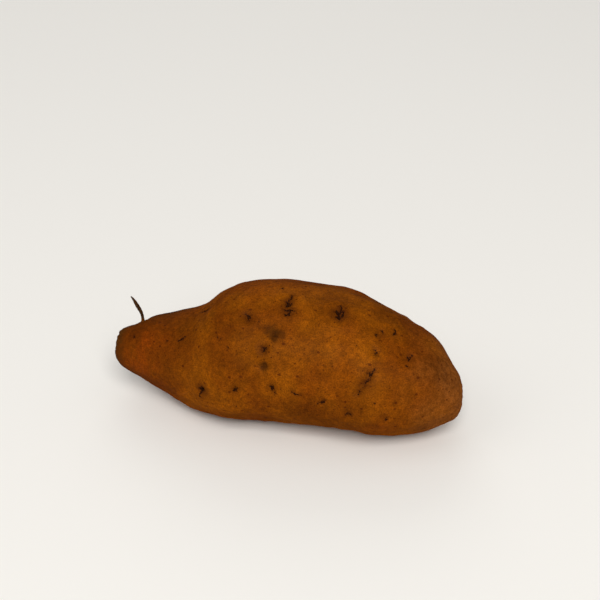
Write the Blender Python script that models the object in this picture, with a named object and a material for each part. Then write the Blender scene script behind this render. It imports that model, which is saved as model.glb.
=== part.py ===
# One whole sweet potato lying on its side: a blunt neck at -X, a fat body, a round root end at +X.
# Metres, +Z up. The origin is the middle of its footprint, on the surface that it lies on.
# Angles round the tuber start at the top and turn over the front (-Y): 90 is the front,
# 180 the belly and 270 the back.
import math
import random

import bmesh
import bpy
import numpy as np
from mathutils import Vector

MM = 0.001

# Body, in millimetres, from the neck to the root end. Each station gives its place along X,
# its half width (Y), its half height (Z), and how far back and how high its middle lies.
STATIONS = (
    (-90.0, 0.0, 0.0, 2.3, 24.6),
    (-89.5, 8.6, 8.0, 2.3, 24.6),
    (-87.0, 11.3, 10.6, 1.9, 24.2),
    (-80.5, 14.4, 13.4, 1.4, 24.2),
    (-72.0, 18.0, 17.0, 0.5, 25.0),
    (-60.0, 22.4, 20.1, -0.5, 25.4),
    (-46.5, 28.4, 24.6, -1.0, 26.0),
    (-35.0, 34.2, 30.5, -1.5, 30.6),
    (-22.0, 37.8, 34.6, -1.5, 33.8),
    (-8.0, 38.0, 35.5, 0.0, 34.5),
    (12.0, 38.0, 35.0, 0.5, 34.0),
    (31.0, 37.0, 34.2, -0.5, 33.2),
    (48.5, 34.5, 31.5, -4.0, 31.0),
    (64.0, 29.5, 27.7, -4.0, 27.5),
    (75.0, 24.5, 23.6, -4.0, 26.1),
    (83.5, 17.0, 16.2, -4.5, 23.7),
    (89.5, 9.0, 9.0, -5.5, 21.0),
    (91.0, 0.0, 0.0, -6.0, 20.0),
)
RINGS = 90
SIDES = 58

# Slow swells that keep the body from being evenly round: height, waves along the tuber,
# turns round it and phase in degrees.
SWELLS = (
    (0.55 * MM, 1.0, 2, 40),
    (0.45 * MM, 1.7, 3, 110),
    (0.40 * MM, 2.6, 2, 250),
    (0.30 * MM, 3.4, 4, 300),
)
BARE_END = 0.12

# Broad bulges and hollows on the back and the belly: place along X in millimetres, angle,
# width and height.
BULGES = (
    (-50, 262, 20 * MM, 2.6 * MM),
    (-12, 238, 18 * MM, -1.8 * MM),
    (24, 268, 22 * MM, 1.2 * MM),
    (52, 246, 16 * MM, -1.4 * MM),
    (66, 300, 16 * MM, 1.0 * MM),
    (-66, 200, 16 * MM, 1.2 * MM),
)

# Shallow furrows that wander along the body: angle, sway in degrees, waves and depth.
FURROWS = (
    (-28, 7, 1.3, 0.6 * MM),
    (66, 6, 1.1, 0.3 * MM),
    (128, 5, 1.5, 0.5 * MM),
    (212, 8, 0.9, 0.9 * MM),
    (272, 7, 1.2, 0.8 * MM),
)
FURROW_WIDTH = 4.5 * MM

# Eyes on the side that shows, in rows along the tuber: place along X in millimetres, angle,
# width and depth.
FRONT_EYES = (
    (-40, 7, 3.0 * MM, 0.8 * MM),
    (-15, 31, 3.0 * MM, 0.8 * MM),
    (3, 18, 4.5 * MM, 1.3 * MM),
    (28, 17, 4.5 * MM, 1.3 * MM),
    (50, 17, 3.5 * MM, 0.9 * MM),
    (56, 11, 3.0 * MM, 0.8 * MM),
    (49, 38, 2.5 * MM, 0.5 * MM),
    (64, 33, 3.5 * MM, 1.0 * MM),
    (-4, 57, 2.5 * MM, 0.8 * MM),
    (-4, 70, 3.0 * MM, 0.6 * MM),
    (-35, 95, 3.5 * MM, 1.1 * MM),
    (-17, 92, 3.5 * MM, 1.0 * MM),
    (1, 88, 3.5 * MM, 1.0 * MM),
    (25, 91, 3.0 * MM, 0.7 * MM),
    (38, 99, 3.0 * MM, 0.8 * MM),
    (56, 96, 3.0 * MM, 0.8 * MM),
)

# Rows of eyes on the rest of the tuber, spread by a seeded draw.
HIDDEN_ROWS = (146, 169, 200, 232, 262, 294, 317)
ROW_START = -62
ROW_END = 70
EYE_SPACING = 27
EYE_SHIFT = 7
ROW_SHIFT = 5
EYE_WIDTHS = (2.8 * MM, 4.2 * MM)
EYE_DEPTH_SHARE = 0.27
SEED = 11

# The lip that swells round each eye, as parts of the eye's depth and width.
LIP_HEIGHT = 0.4
LIP_PLACE = 1.7
LIP_WIDTH = 0.8

# A short split across the skin: its two ends, its width and depth.
SPLIT_START = (48, 60)
SPLIT_END = (43, 77)
SPLIT_WIDTH = 2.2 * MM
SPLIT_DEPTH = 0.9 * MM

# A sunken corky patch.
PATCH = (-2, 43)
PATCH_WIDTH = 5.5 * MM
PATCH_DEPTH = 0.7 * MM

# The broken stem face at the neck: its dish and the rim round it.
STEM_DISH = 1.6 * MM
STEM_DISH_WIDTH = 5.0 * MM
STEM_RIM = 0.5 * MM
STEM_RIM_PLACE = 8.2 * MM
STEM_RIM_WIDTH = 2.0 * MM
STEM_REACH = 8.0 * MM

# Rootlets: place along X in millimetres, angle, length, and lean along the tuber and round it.
# The first is the long curved one on the neck, and the rest are stubs in the eyes. An end share
# is the thickness at the tip as a part of the thickness at the foot.
LONG_ROOTLET = (-77, -8, 12.5 * MM, -0.55, 0.1)
LONG_ROOTLET_THICKNESS = 1.6 * MM
LONG_ROOTLET_END_SHARE = 0.5
STUBS = (
    (3, 18, 1.5 * MM, 0.6, 0.8),
    (28, 17, 1.5 * MM, -0.5, 0.8),
    (-35, 95, 1.4 * MM, 0.7, 0.6),
    (-17, 92, 1.2 * MM, -0.7, 0.4),
    (1, 88, 1.2 * MM, 0.4, -0.7),
    (20, 232, 2.0 * MM, 0.6, 0.6),
    (-30, 262, 2.2 * MM, -0.6, 0.5),
    (35, 294, 1.8 * MM, 0.7, -0.5),
)
STUB_THICKNESS = 2.0 * MM
STUB_END_SHARE = 0.5

# The root tail, broken off short, at the back of the root end.
TAIL = (87, 238, 3.0 * MM, 0.3, 0.1)
TAIL_THICKNESS = 4.0 * MM
TAIL_END_SHARE = 0.6

# How deep each rootlet starts in the body, how many steps it has, and how round it is.
ROOT_SUNK = 1.8 * MM
ROOT_STEPS = 6
ROOT_BEVEL_RESOLUTION = 1
WELD_DISTANCE = 0.01 * MM

# How many places along the body are tried to find a place along X.
SPOT_SAMPLES = 2001

SKIN_COLOUR = (0.31, 0.105, 0.018, 1.0)
SKIN_ROUGHNESS = 0.55


def clear_scene():
    for old in list(bpy.data.objects):
        bpy.data.objects.remove(old)


# A cubic curve through the rows of the table. Past each end the table is mirrored, with its
# half width and half height turned negative, so both tips close round and not to a point.
def through_stations(along):
    rows = np.array(STATIONS) * MM
    flip = np.array([1.0, -1.0, -1.0, 1.0, 1.0])
    rows = np.vstack([rows[1] * flip, rows, rows[-2] * flip])
    steps = np.linalg.norm(np.diff(rows[:, :2], axis=0), axis=1)
    knots = np.concatenate([[0.0], np.cumsum(steps)])
    slopes = np.zeros_like(rows)
    slopes[1:-1] = (rows[2:] - rows[:-2]) / (knots[2:] - knots[:-2])[:, None]
    at = knots[1] + np.clip(along, 0.0, 1.0) * (knots[-2] - knots[1])
    index = np.clip(np.searchsorted(knots, at, side="right") - 1, 1, len(rows) - 3)
    gap = (knots[index + 1] - knots[index])[:, None]
    part = (at - knots[index])[:, None] / gap
    rise = part * part * (3.0 - 2.0 * part) * (rows[index + 1] - rows[index])
    leave = part * (1.0 - part) ** 2 * slopes[index]
    arrive = part * part * (1.0 - part) * slopes[index + 1]
    return rows[index] + rise + gap * (leave - arrive)


# The plain body: an ellipse at each place along the tuber.
def plain_surface(along, angle):
    x, half_width, half_height, back, high = through_stations(along).T
    return np.stack(
        [x, back - half_width * np.sin(angle), high + half_height * np.cos(angle)], axis=1
    )


def outward(angle):
    return np.stack([np.zeros_like(angle), -np.sin(angle), np.cos(angle)], axis=1)


# Where a mark's (millimetres along X, degrees) lies, as (along, angle).
def spot(mark):
    samples = np.linspace(0.0, 1.0, SPOT_SAMPLES)
    along = np.interp(mark[0] * MM, through_stations(samples)[:, 0], samples)
    return np.array([along]), np.array([math.radians(mark[1])])


def clear_of_ends(along):
    return np.clip(np.minimum(along, 1.0 - along) / BARE_END, 0.0, 1.0)


def bump(distance, width):
    return np.exp(-((distance / width) ** 2))


# A sum of waves that run along the tuber and round it.
def swell_height(along, angle):
    height = np.zeros_like(along)
    for size, waves, turns, phase in SWELLS:
        height += size * np.sin(2.0 * math.pi * waves * along + turns * angle + math.radians(phase))
    return height * clear_of_ends(along)


# Each furrow is a trough across the angle, and its angle sways along the tuber.
def furrow_height(along, angle):
    height = np.zeros_like(along)
    radius = through_stations(along)[:, 1:3].mean(axis=1)
    for middle, sway, waves, depth in FURROWS:
        line = np.radians(middle + sway * np.sin(2.0 * math.pi * waves * along + middle))
        across = np.arctan2(np.sin(angle - line), np.cos(angle - line)) * radius
        height -= depth * bump(across, FURROW_WIDTH)
    return height * clear_of_ends(along)


def bulge_height(points):
    height = np.zeros(len(points))
    for bulge in BULGES:
        distance = np.linalg.norm(points - plain_surface(*spot(bulge)), axis=1)
        height += bulge[3] * bump(distance, bulge[2])
    return height


def hidden_eyes():
    draw = random.Random(SEED)
    eyes = []
    for row in HIDDEN_ROWS:
        x = ROW_START + draw.uniform(0, EYE_SPACING)
        while x < ROW_END:
            width = draw.uniform(*EYE_WIDTHS)
            angle = row + draw.uniform(-ROW_SHIFT, ROW_SHIFT)
            eyes.append((x, angle, width, EYE_DEPTH_SHARE * width))
            x += EYE_SPACING + draw.uniform(-EYE_SHIFT, EYE_SHIFT)
    return eyes


# Each eye is a round dent with a low lip round it.
def eye_height(points):
    height = np.zeros(len(points))
    for eye in (*FRONT_EYES, *hidden_eyes()):
        width, depth = eye[2:]
        distance = np.linalg.norm(points - plain_surface(*spot(eye)), axis=1)
        height -= depth * bump(distance, width)
        height += LIP_HEIGHT * depth * bump(distance - LIP_PLACE * width, LIP_WIDTH * width)
    return height


# The split is a trough along the straight line between its ends.
def split_height(points):
    start = plain_surface(*spot(SPLIT_START))[0]
    end = plain_surface(*spot(SPLIT_END))[0]
    part = np.clip((points - start) @ (end - start) / ((end - start) @ (end - start)), 0.0, 1.0)
    distance = np.linalg.norm(points - start - part[:, None] * (end - start), axis=1)
    return -SPLIT_DEPTH * bump(distance, SPLIT_WIDTH)


def patch_height(points):
    distance = np.linalg.norm(points - plain_surface(*spot(PATCH)), axis=1)
    return -PATCH_DEPTH * bump(distance, PATCH_WIDTH)


# How far the stem face is pushed in along +X: a dish in the middle and a rim that stands out.
def stem_push(points):
    middle = through_stations(np.zeros(1))[0]
    across = np.hypot(points[:, 1] - middle[3], points[:, 2] - middle[4])
    push = STEM_DISH * bump(across, STEM_DISH_WIDTH)
    push -= STEM_RIM * bump(across - STEM_RIM_PLACE, STEM_RIM_WIDTH)
    return push * np.clip(1.0 - (points[:, 0] - middle[0]) / STEM_REACH, 0.0, 1.0)


# The whole surface, cut level where it lies on the ground.
def surface(along, angle):
    plain = plain_surface(along, angle)
    height = swell_height(along, angle) + furrow_height(along, angle) + bulge_height(plain)
    height += eye_height(plain) + split_height(plain) + patch_height(plain)
    points = plain + height[:, None] * outward(angle)
    points[:, 0] += stem_push(plain)
    points[:, 2] = np.maximum(points[:, 2], 0.0)
    return points


# The body is a sphere with its poles turned to the two tips, each of its points moved to the surface.
def make_body():
    ball = bmesh.new()
    bmesh.ops.create_uvsphere(ball, u_segments=SIDES, v_segments=RINGS, radius=1.0)
    places = np.array([vertex.co for vertex in ball.verts])
    along = np.arccos(np.clip(-places[:, 2], -1.0, 1.0)) / math.pi
    angle = np.arctan2(places[:, 1], places[:, 0])
    for vertex, point in zip(ball.verts, surface(along, angle)):
        vertex.co = point
    mesh = bpy.data.meshes.new("body")
    ball.to_mesh(mesh)
    ball.free()
    return bpy.data.objects.new("body", mesh)


# A tapering rootlet that leaves the skin straight and leans over as it grows.
def make_rootlet(name, rootlet, thickness, end_share):
    x, degrees, length, lean_along, lean_round = rootlet
    along, angle = spot((x, degrees))
    foot = Vector(surface(along, angle)[0])
    out = Vector(outward(angle)[0])
    side = Vector((1.0, 0.0, 0.0)) * lean_along + out.cross(Vector((1.0, 0.0, 0.0))) * lean_round
    curve = bpy.data.curves.new(name, "CURVE")
    curve.dimensions = "3D"
    curve.bevel_depth = thickness / 2.0
    curve.bevel_resolution = ROOT_BEVEL_RESOLUTION
    curve.use_fill_caps = True
    spline = curve.splines.new("POLY")
    spline.points.add(ROOT_STEPS)
    for step, point in enumerate(spline.points):
        part = step / ROOT_STEPS
        rise = part * (length + ROOT_SUNK) - ROOT_SUNK
        lean = length * max(rise / length, 0.0) ** 2
        point.co = (*(foot + out * rise + side * lean), 1.0)
        point.radius = 1.0 + (end_share - 1.0) * part
    return as_mesh(bpy.data.objects.new(name, curve))


# Turns a curve object into a mesh object with welded caps.
def as_mesh(curve_object):
    bpy.context.scene.collection.objects.link(curve_object)
    graph = bpy.context.evaluated_depsgraph_get()
    mesh = bpy.data.meshes.new_from_object(curve_object.evaluated_get(graph))
    made = bpy.data.objects.new(curve_object.name + "_solid", mesh)
    made.matrix_world = curve_object.matrix_world
    weld = bmesh.new()
    weld.from_mesh(mesh)
    bmesh.ops.remove_doubles(weld, verts=weld.verts, dist=WELD_DISTANCE)
    bmesh.ops.recalc_face_normals(weld, faces=weld.faces)
    weld.to_mesh(mesh)
    weld.free()
    bpy.data.objects.remove(curve_object)
    return made


def make_growths():
    growths = [
        make_rootlet("long_rootlet", LONG_ROOTLET, LONG_ROOTLET_THICKNESS, LONG_ROOTLET_END_SHARE),
        make_rootlet("root_tail", TAIL, TAIL_THICKNESS, TAIL_END_SHARE),
    ]
    for number, stub in enumerate(STUBS):
        growths.append(make_rootlet(f"stub_{number}", stub, STUB_THICKNESS, STUB_END_SHARE))
    return growths


# One Boolean union fuses what grows from the body to it.
def fuse(body, growths):
    joined = bpy.data.collections.new("growths")
    bpy.context.scene.collection.children.link(joined)
    for growth in growths:
        joined.objects.link(growth)
    union = body.modifiers.new("fuse", "BOOLEAN")
    union.operation = "UNION"
    union.operand_type = "COLLECTION"
    union.collection = joined
    union.solver = "EXACT"
    graph = bpy.context.evaluated_depsgraph_get()
    mesh = bpy.data.meshes.new_from_object(body.evaluated_get(graph))
    mesh.name = "sweet_potato"
    body.modifiers.remove(union)
    body.data = mesh
    for growth in growths:
        bpy.data.objects.remove(growth)
    bpy.data.collections.remove(joined)


# Puts the middle of the footprint at the origin.
def centre(mesh):
    points = np.array([vertex.co for vertex in mesh.vertices])
    middle = (points.min(axis=0) + points.max(axis=0)) / 2.0
    points[:, :2] -= middle[:2]
    mesh.vertices.foreach_set("co", points.ravel())
    mesh.update()


def make_skin():
    skin = bpy.data.materials.new("skin")
    skin.use_nodes = True
    shader = skin.node_tree.nodes["Principled BSDF"]
    shader.inputs["Base Color"].default_value = SKIN_COLOUR
    shader.inputs["Roughness"].default_value = SKIN_ROUGHNESS
    shader.inputs["Metallic"].default_value = 0.0
    return skin


def main():
    clear_scene()
    home = bpy.data.collections.new("sweet_potato")
    bpy.context.scene.collection.children.link(home)
    tuber = make_body()
    home.objects.link(tuber)
    fuse(tuber, make_growths())
    centre(tuber.data)
    tuber.name = "tuber"
    tuber.data.materials.clear()
    tuber.data.materials.append(make_skin())
    tuber.data.shade_smooth()


main()
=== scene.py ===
# One whole sweet potato lying on its side: a finely worked skin with the scars of its roots,
# a long dried rootlet, broken root stubs, loose root fibres and a woody stem end.
# Sizes are in millimetres and angles in degrees, unless a note says otherwise. Angles round the
# body start at the top and turn over the front: 90 is the front, 180 the belly, 270 the back.
import math
import random

import bpy
import numpy as np
from mathutils import Matrix, Vector


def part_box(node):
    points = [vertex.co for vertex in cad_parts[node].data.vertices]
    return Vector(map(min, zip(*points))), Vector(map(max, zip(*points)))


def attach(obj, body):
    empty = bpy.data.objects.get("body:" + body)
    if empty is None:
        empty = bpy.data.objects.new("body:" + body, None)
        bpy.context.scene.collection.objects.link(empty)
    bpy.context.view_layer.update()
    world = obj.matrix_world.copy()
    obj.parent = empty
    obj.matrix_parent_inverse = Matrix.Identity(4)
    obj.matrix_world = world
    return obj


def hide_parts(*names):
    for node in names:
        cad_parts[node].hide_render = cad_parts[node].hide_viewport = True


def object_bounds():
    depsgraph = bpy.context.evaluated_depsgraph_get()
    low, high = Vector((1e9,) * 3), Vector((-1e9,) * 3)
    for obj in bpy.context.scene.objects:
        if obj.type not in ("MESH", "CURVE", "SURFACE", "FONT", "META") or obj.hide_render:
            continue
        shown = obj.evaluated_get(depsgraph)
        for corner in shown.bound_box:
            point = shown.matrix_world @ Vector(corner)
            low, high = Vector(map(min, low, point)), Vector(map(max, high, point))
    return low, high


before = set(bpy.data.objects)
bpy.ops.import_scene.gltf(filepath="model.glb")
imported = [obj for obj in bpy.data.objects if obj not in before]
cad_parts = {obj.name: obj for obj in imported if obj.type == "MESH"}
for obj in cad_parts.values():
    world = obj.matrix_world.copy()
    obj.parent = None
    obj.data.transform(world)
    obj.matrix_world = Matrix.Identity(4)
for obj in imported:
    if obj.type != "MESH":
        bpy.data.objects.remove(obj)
solidBox = [list(corner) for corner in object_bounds()]
metresPerMm = 0.001

# The body. Each station gives its place along X, its half width (Y), its half height (Z), and
# how far back and how high its middle lies.
body = {
    "stations": (
        (-90.0, 0.0, 0.0, 2.3, 24.6),
        (-89.5, 8.6, 8.0, 2.3, 24.6),
        (-87.0, 11.3, 10.6, 1.9, 24.2),
        (-80.5, 14.4, 13.4, 1.4, 24.2),
        (-72.0, 18.0, 17.0, 0.5, 25.0),
        (-60.0, 22.4, 20.1, -0.5, 25.4),
        (-46.5, 28.4, 24.6, -1.0, 26.0),
        (-35.0, 34.2, 30.5, -1.5, 30.6),
        (-22.0, 37.8, 34.6, -1.5, 33.8),
        (-8.0, 38.0, 35.5, 0.0, 34.5),
        (12.0, 38.0, 35.0, 0.5, 34.0),
        (31.0, 37.0, 34.2, -0.5, 33.2),
        (48.5, 34.5, 31.5, -4.0, 31.0),
        (64.0, 29.5, 27.7, -4.0, 27.5),
        (75.0, 24.5, 23.6, -4.0, 26.1),
        (83.5, 17.0, 16.2, -4.5, 23.7),
        (89.5, 9.0, 9.0, -5.5, 21.0),
        (91.0, 0.0, 0.0, -6.0, 20.0),
    ),
    "rings": 360,
    "sides": 274,
    "finestAngle": 45,    # columns lie closest together round this angle
    "closeness": 0.37,
    "swells": (           # height, waves along, turns round, phase
        (0.55, 1.0, 2, 40),
        (0.45, 1.7, 3, 110),
        (0.40, 2.6, 2, 250),
        (0.30, 3.4, 4, 300),
    ),
    "bareEnd": 0.12,      # swells and furrows fade out over this share of the length
    "bulges": (           # place along X, angle, width, height
        (-50, 262, 20, 2.6),
        (-12, 238, 18, -1.8),
        (24, 268, 22, 1.2),
        (52, 246, 16, -1.4),
        (66, 300, 16, 1.0),
        (-66, 200, 16, 1.2),
        (-2, 43, 5.5, -0.7),     # the dent under the corky patch
    ),
    "furrows": (          # angle, sway, waves, depth
        (-28, 7, 1.3, 0.6),
        (66, 6, 1.1, 0.3),
        (128, 5, 1.5, 0.5),
        (212, 8, 0.9, 0.9),
        (272, 7, 1.2, 0.8),
    ),
    "furrowWidth": 4.5,
}

# The eyes, dents where roots grew: place along X, angle, width, depth. The rows on the far side
# are spread by a seeded draw.
eyes = {
    "front": (
        (-40, 7, 3.0, 0.8),
        (-15, 31, 3.0, 0.8),
        (3, 18, 4.5, 1.3),
        (28, 17, 4.5, 1.3),
        (50, 17, 3.5, 0.9),
        (56, 11, 3.0, 0.8),
        (49, 38, 2.5, 0.5),
        (64, 33, 3.5, 1.0),
        (-4, 57, 2.5, 0.8),
        (-4, 70, 3.0, 0.6),
        (-35, 95, 3.5, 1.1),
        (-17, 92, 3.5, 1.0),
        (1, 88, 3.5, 1.0),
        (25, 91, 3.0, 0.7),
        (38, 99, 3.0, 0.8),
        (56, 96, 3.0, 0.8),
    ),
    "rows": (146, 169, 200, 232, 262, 294, 317),    # their angles
    "rowStart": -62,
    "rowEnd": 70,
    "spacing": 27,
    "shift": 7,
    "rowShift": 5,
    "seed": 11,
    "widths": (2.8, 4.2),
    "depthShare": 0.27,      # depth for each millimetre of width
    "lipHeight": 0.4,        # of the depth, and the next two of the width
    "lipPlace": 1.7,
    "lipWidth": 0.8,
}

# The split in the skin, with the place along X and the angle of each end.
split = {"start": (48, 60), "end": (43, 77), "width": 2.2, "depth": 0.9}

# The broken stem face at the neck. Its cork reaches further along the body on the upper side.
# Here and below, a noise is given by its amount, the size of its lumps and its seed.
stemFace = {
    "dish": 1.6,
    "dishWidth": 5.0,
    "rim": 0.5,
    "rimPlace": 8.2,
    "rimWidth": 2.0,
    "reach": 8.0,
    "corkEnd": -88.6,
    "corkEdge": (1.9, -0.95),      # from that end, the cork is gone and whole at these distances
    "corkLap": 2.0,
    "lapAngle": -20,
    "lapSpread": 55,
    "corkRagged": ((1.7, 3.0, 41), (0.85, 1.1, 42)),
    "ridges": 17,
    "ridgeHeight": 0.12,
    "ridgeSway": (2.5, 4.0, 43),
    "ridgeEnds": (1.0, 6.0),       # ridges fade in between these radii
    "rings": 2.3,
    "ringHeight": 0.08,
    "ringSway": (2.0, 3.0, 44),
    "crumbs": (0.14, 1.5, 45),
    "reliefEnds": (10.5, 7.0),     # all of the face's relief fades out between these radii
}

# Fine relief over the whole skin, as noises, and creases across both ends.
relief = {
    "pillows": (0.24, 10.0, 3),
    "dimples": (0.10, 4.2, 4),
    "grain": (0.035, 1.9, 5),
    "ribs": (0.14, (30.0, 3.4, 3.4), 6),
    "wrinkles": (0.34, (17.0, 2.0, 2.0), 7),
    "wrinkleSwell": 0.6,
    "wrinkleCut": 0.8,
    "wrinkleCutWidth": 0.22,
    "neck": (-42.0, -80.0),                # wrinkles start and are full at these places along X
    "tip": (66.0, 86.0),
    "tipShare": 0.7,                       # how strong they are at the tip, against the neck
    "creases": (                           # place along X, angle, spread, depth
        (-83.0, 20, 60, 0.16),
        (-79.5, 75, 45, 0.22),
        (-76.0, -40, 50, 0.26),
        (-71.5, 110, 55, 0.22),
        (-68.0, 20, 35, 0.20),
        (-63.5, 210, 60, 0.26),
        (-57.5, 80, 30, 0.16),
        (-74.0, 250, 50, 0.30),
        (80.5, 60, 50, 0.20),
        (84.5, 250, 70, 0.24),
    ),
    "creaseWidth": 0.8,
    "creaseSway": (1.3, 8.0, 8),
    "poleFade": 0.004,                     # all of it fades out over this part of the length
}

# Scars of broken roots. A kind is a set of strokes, each a few points in millimetres from the
# scar's middle, to the right and down round the body.
scars = {
    "kinds": {
        "curl": (
            ((1.2, -2.9), (1.1, -1.2), (0.2, -0.1)),
            ((1.7, 1.6), (1.1, 2.8), (0.4, 3.1)),
            ((-0.5, 0.8), (-0.1, 1.5)),
        ),
        "horseshoe": (
            ((-1.8, -0.9), (0.0, -0.6), (1.2, -0.9)),
            ((0.3, -1.4), (1.5, -1.6), (2.7, -0.7)),
            ((1.2, -0.7), (1.1, 0.6), (0.5, 1.9), (1.2, 2.4)),
            ((-0.6, 2.3), (-0.2, 2.7)),
        ),
        "star": (
            ((0.6, -5.4), (0.8, -2.7), (0.3, -1.2)),
            ((-1.3, -1.7), (0.5, -1.3)),
            ((2.0, -2.7), (2.2, 0.6)),
            ((0.2, -0.9), (0.6, 1.2)),
            ((-0.8, 1.3), (0.4, 2.0), (1.3, 2.9)),
        ),
        "burst": (
            ((-1.7, -1.4), (-0.5, 0.0), (0.3, 1.7), (0.7, 2.6)),
            ((-0.5, -1.1), (0.7, 0.1), (0.9, 1.0)),
        ),
        "twin": (
            ((0.8, -2.5), (0.4, -0.8), (-0.2, 0.8), (-0.6, 2.3)),
            ((-0.5, -2.1), (0.7, -2.4)),
        ),
        "vee": (((0.7, -2.0), (0.2, 0.0), (-0.3, 1.0)), ((-0.7, -0.7), (0.0, 0.4))),
        "hook": (
            ((-1.7, -1.6), (-0.5, -2.0), (1.1, -1.8)),
            ((0.4, -3.0), (0.8, -1.9)),
            ((0.4, -1.1), (-0.2, 0.0), (-1.1, 1.1), (-1.3, 2.3), (-0.5, 3.2)),
        ),
        "drop": (
            ((-0.2, -1.8), (0.0, -0.4), (0.3, 0.6)),
            ((-1.0, -1.2), (-0.3, -0.5)),
            ((0.9, 2.0), (1.1, 3.0)),
        ),
        "speck": (
            ((-1.0, 0.6), (0.0, 0.0), (1.2, -0.4)),
            ((0.0, -1.2), (0.1, 0.2), (0.7, 1.8)),
        ),
        "pit": (((-0.9, -0.5), (0.9, -0.6)), ((-0.4, 0.1), (0.5, 0.0)), ((0.0, 0.5), (0.1, 1.1))),
        "dash": (((-1.8, -0.3), (-0.3, 0.1), (1.5, 0.1)),),
        "wedge": (((-1.7, 0.9), (-0.2, 0.1), (1.5, -1.2)), ((0.1, 0.4), (0.9, 0.0), (1.4, -0.6))),
        "chevron": (((-1.7, 1.1), (0.1, -0.7), (1.7, 0.5)),),
        "parted": (((0.2, -1.6), (0.7, -1.2)), ((-1.6, 1.5), (-2.0, 2.9))),
        "smudge": (((-0.9, -0.6), (0.2, 0.3)), ((-0.2, 0.8), (0.9, -0.2))),
        "dot": (((-0.35, -0.15), (0.35, 0.2)),),
        "rift": (
            ((3.2, -7.0), (2.5, -5.4), (2.2, -4.0), (1.8, -2.6)),
            ((1.2, -5.0), (1.8, -3.5)),
            ((1.2, -1.9), (0.5, -0.9)),
            ((0.1, -0.6), (-0.5, 0.3)),
        ),
        "riftEnd": (
            ((-2.0, 3.3), (-2.9, 4.6), (-3.2, 5.6)),
            ((-1.1, 1.9), (-1.6, 2.8)),
        ),
    },
    "front": (            # place along X, angle, kind, size, turn, darkness
        (-40.8, 4, "dash", 1.0, 0, 0.85),
        (-14.2, 31, "burst", 1.0, 0, 0.72),
        (-10.6, 33, "dot", 0.45, 0, 0.60),
        (-8.7, 36, "dot", 0.55, 30, 0.65),
        (-6.9, 31, "dot", 0.40, 0, 0.55),
        (2.9, 13, "curl", 1.0, 0, 0.95),
        (4.1, 24, "horseshoe", 1.0, 0, 0.92),
        (28.6, 18, "star", 1.0, 0, 1.10),
        (50.2, 17, "parted", 1.0, 0, 0.80),
        (56.0, 10, "twin", 0.9, 0, 0.70),
        (49.6, 37, "smudge", 1.3, 0, 0.62),
        (65.1, 33, "vee", 1.0, 0, 0.80),
        (64.4, 42, "dot", 0.7, 0, 0.75),
        (-4.0, 57, "pit", 1.0, 0, 1.00),
        (-3.3, 70, "smudge", 0.9, 40, 0.35),
        (-35.3, 98, "hook", 1.0, 0, 0.84),
        (-16.9, 91, "speck", 1.0, 0, 0.48),
        (1.4, 88, "drop", 1.0, 0, 0.67),
        (13.2, 90, "dash", 1.1, 8, 0.80),
        (25.5, 94, "wedge", 1.0, 0, 0.82),
        (39.0, 100, "chevron", 1.0, 0, 0.80),
        (57.0, 98, "dot", 2.1, 75, 0.90),
        (51.7, 81, "dot", 0.7, 20, 0.75),
        (21.1, 75, "dot", 0.6, 0, 0.55),
        (39.8, 39, "dot", 0.6, 50, 0.55),
        (-1.8, -1, "dot", 0.7, 0, 0.65),
        (-21.6, 86, "dot", 0.7, 0, 0.65),
        (-44.7, 60, "dot", 0.7, 30, 0.60),
        (-27.2, 48, "smudge", 1.1, 0, 0.50),
        (-21.8, 55, "smudge", 1.3, 70, 0.45),
        (-58.9, 37, "smudge", 1.3, 30, 0.50),
        (-50.3, 35, "dash", 1.15, -38, 0.70),
        (-79.3, 31, "dot", 0.9, 20, 1.00),
        (-73.5, 52, "dot", 0.5, 60, 0.55),
        (46.7, 67, "rift", 1.0, 0, 0.85),
        (46.7, 67, "riftEnd", 1.0, 0, 0.62),
    ),
    "hiddenKinds": (
        "curl", "star", "hook", "drop", "burst", "vee", "dash", "horseshoe", "speck",
        "dash", "speck", "smudge", "twin", "chevron", "smudge",
    ),
    "hiddenSize": (0.20, 0.33),      # of the eye's width
    "hiddenTurn": (-50, 50),
    "hiddenDarkness": (0.40, 1.00),
    "hiddenDots": 46,
    "dotDraws": ((-75, 78), (105, 350), (0.4, 0.9), (0, 180), (0.4, 0.8)),    # place to darkness
    "seed": 23,
    "strokeWidth": 0.66,
    "strokeDepth": 0.26,
    "leastScale": 0.45,      # widths are scaled by this and a share of the scar's size
    "scaleShare": 0.55,
    "largestScaled": 1.2,
    "smearWidth": 2.0,
    "smallSmear": 1.15,      # the smear's width round scars that aren't bruised
    "bruiseWidth": 5.2,
    "bruised": ("curl", "horseshoe", "star", "burst", "hook", "rift", "pit"),
    "wobble": 0.36,
    "wobbleSize": 1.5,
    "reach": 16.0,
}

# Dull corky patches: place along X, angle, radius, strength.
scurf = {
    "patches": (
        (0.6, 44.5, 4.3, 1.0),
        (-1.8, 41, 3.8, 0.75),
        (-3.3, 70, 2.3, 0.9),
        (49.5, 40, 1.8, 0.5),
        (-63, 336, 5.0, 0.8),
        (-38, 196, 6.0, 0.9),
        (28, 222, 7.0, 0.8),
        (-12, 284, 5.0, 0.8),
        (58, 268, 4.5, 0.8),
        (44, 328, 3.5, 0.6),
        (-78, 150, 5.0, 0.9),
    ),
    "edge": (1.25, 0.35),      # in radii, where a patch is gone and whole
    "ragged": (0.32, 2.4, 31),
    "relief": (0.16, 1.6, 46),
}

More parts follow.
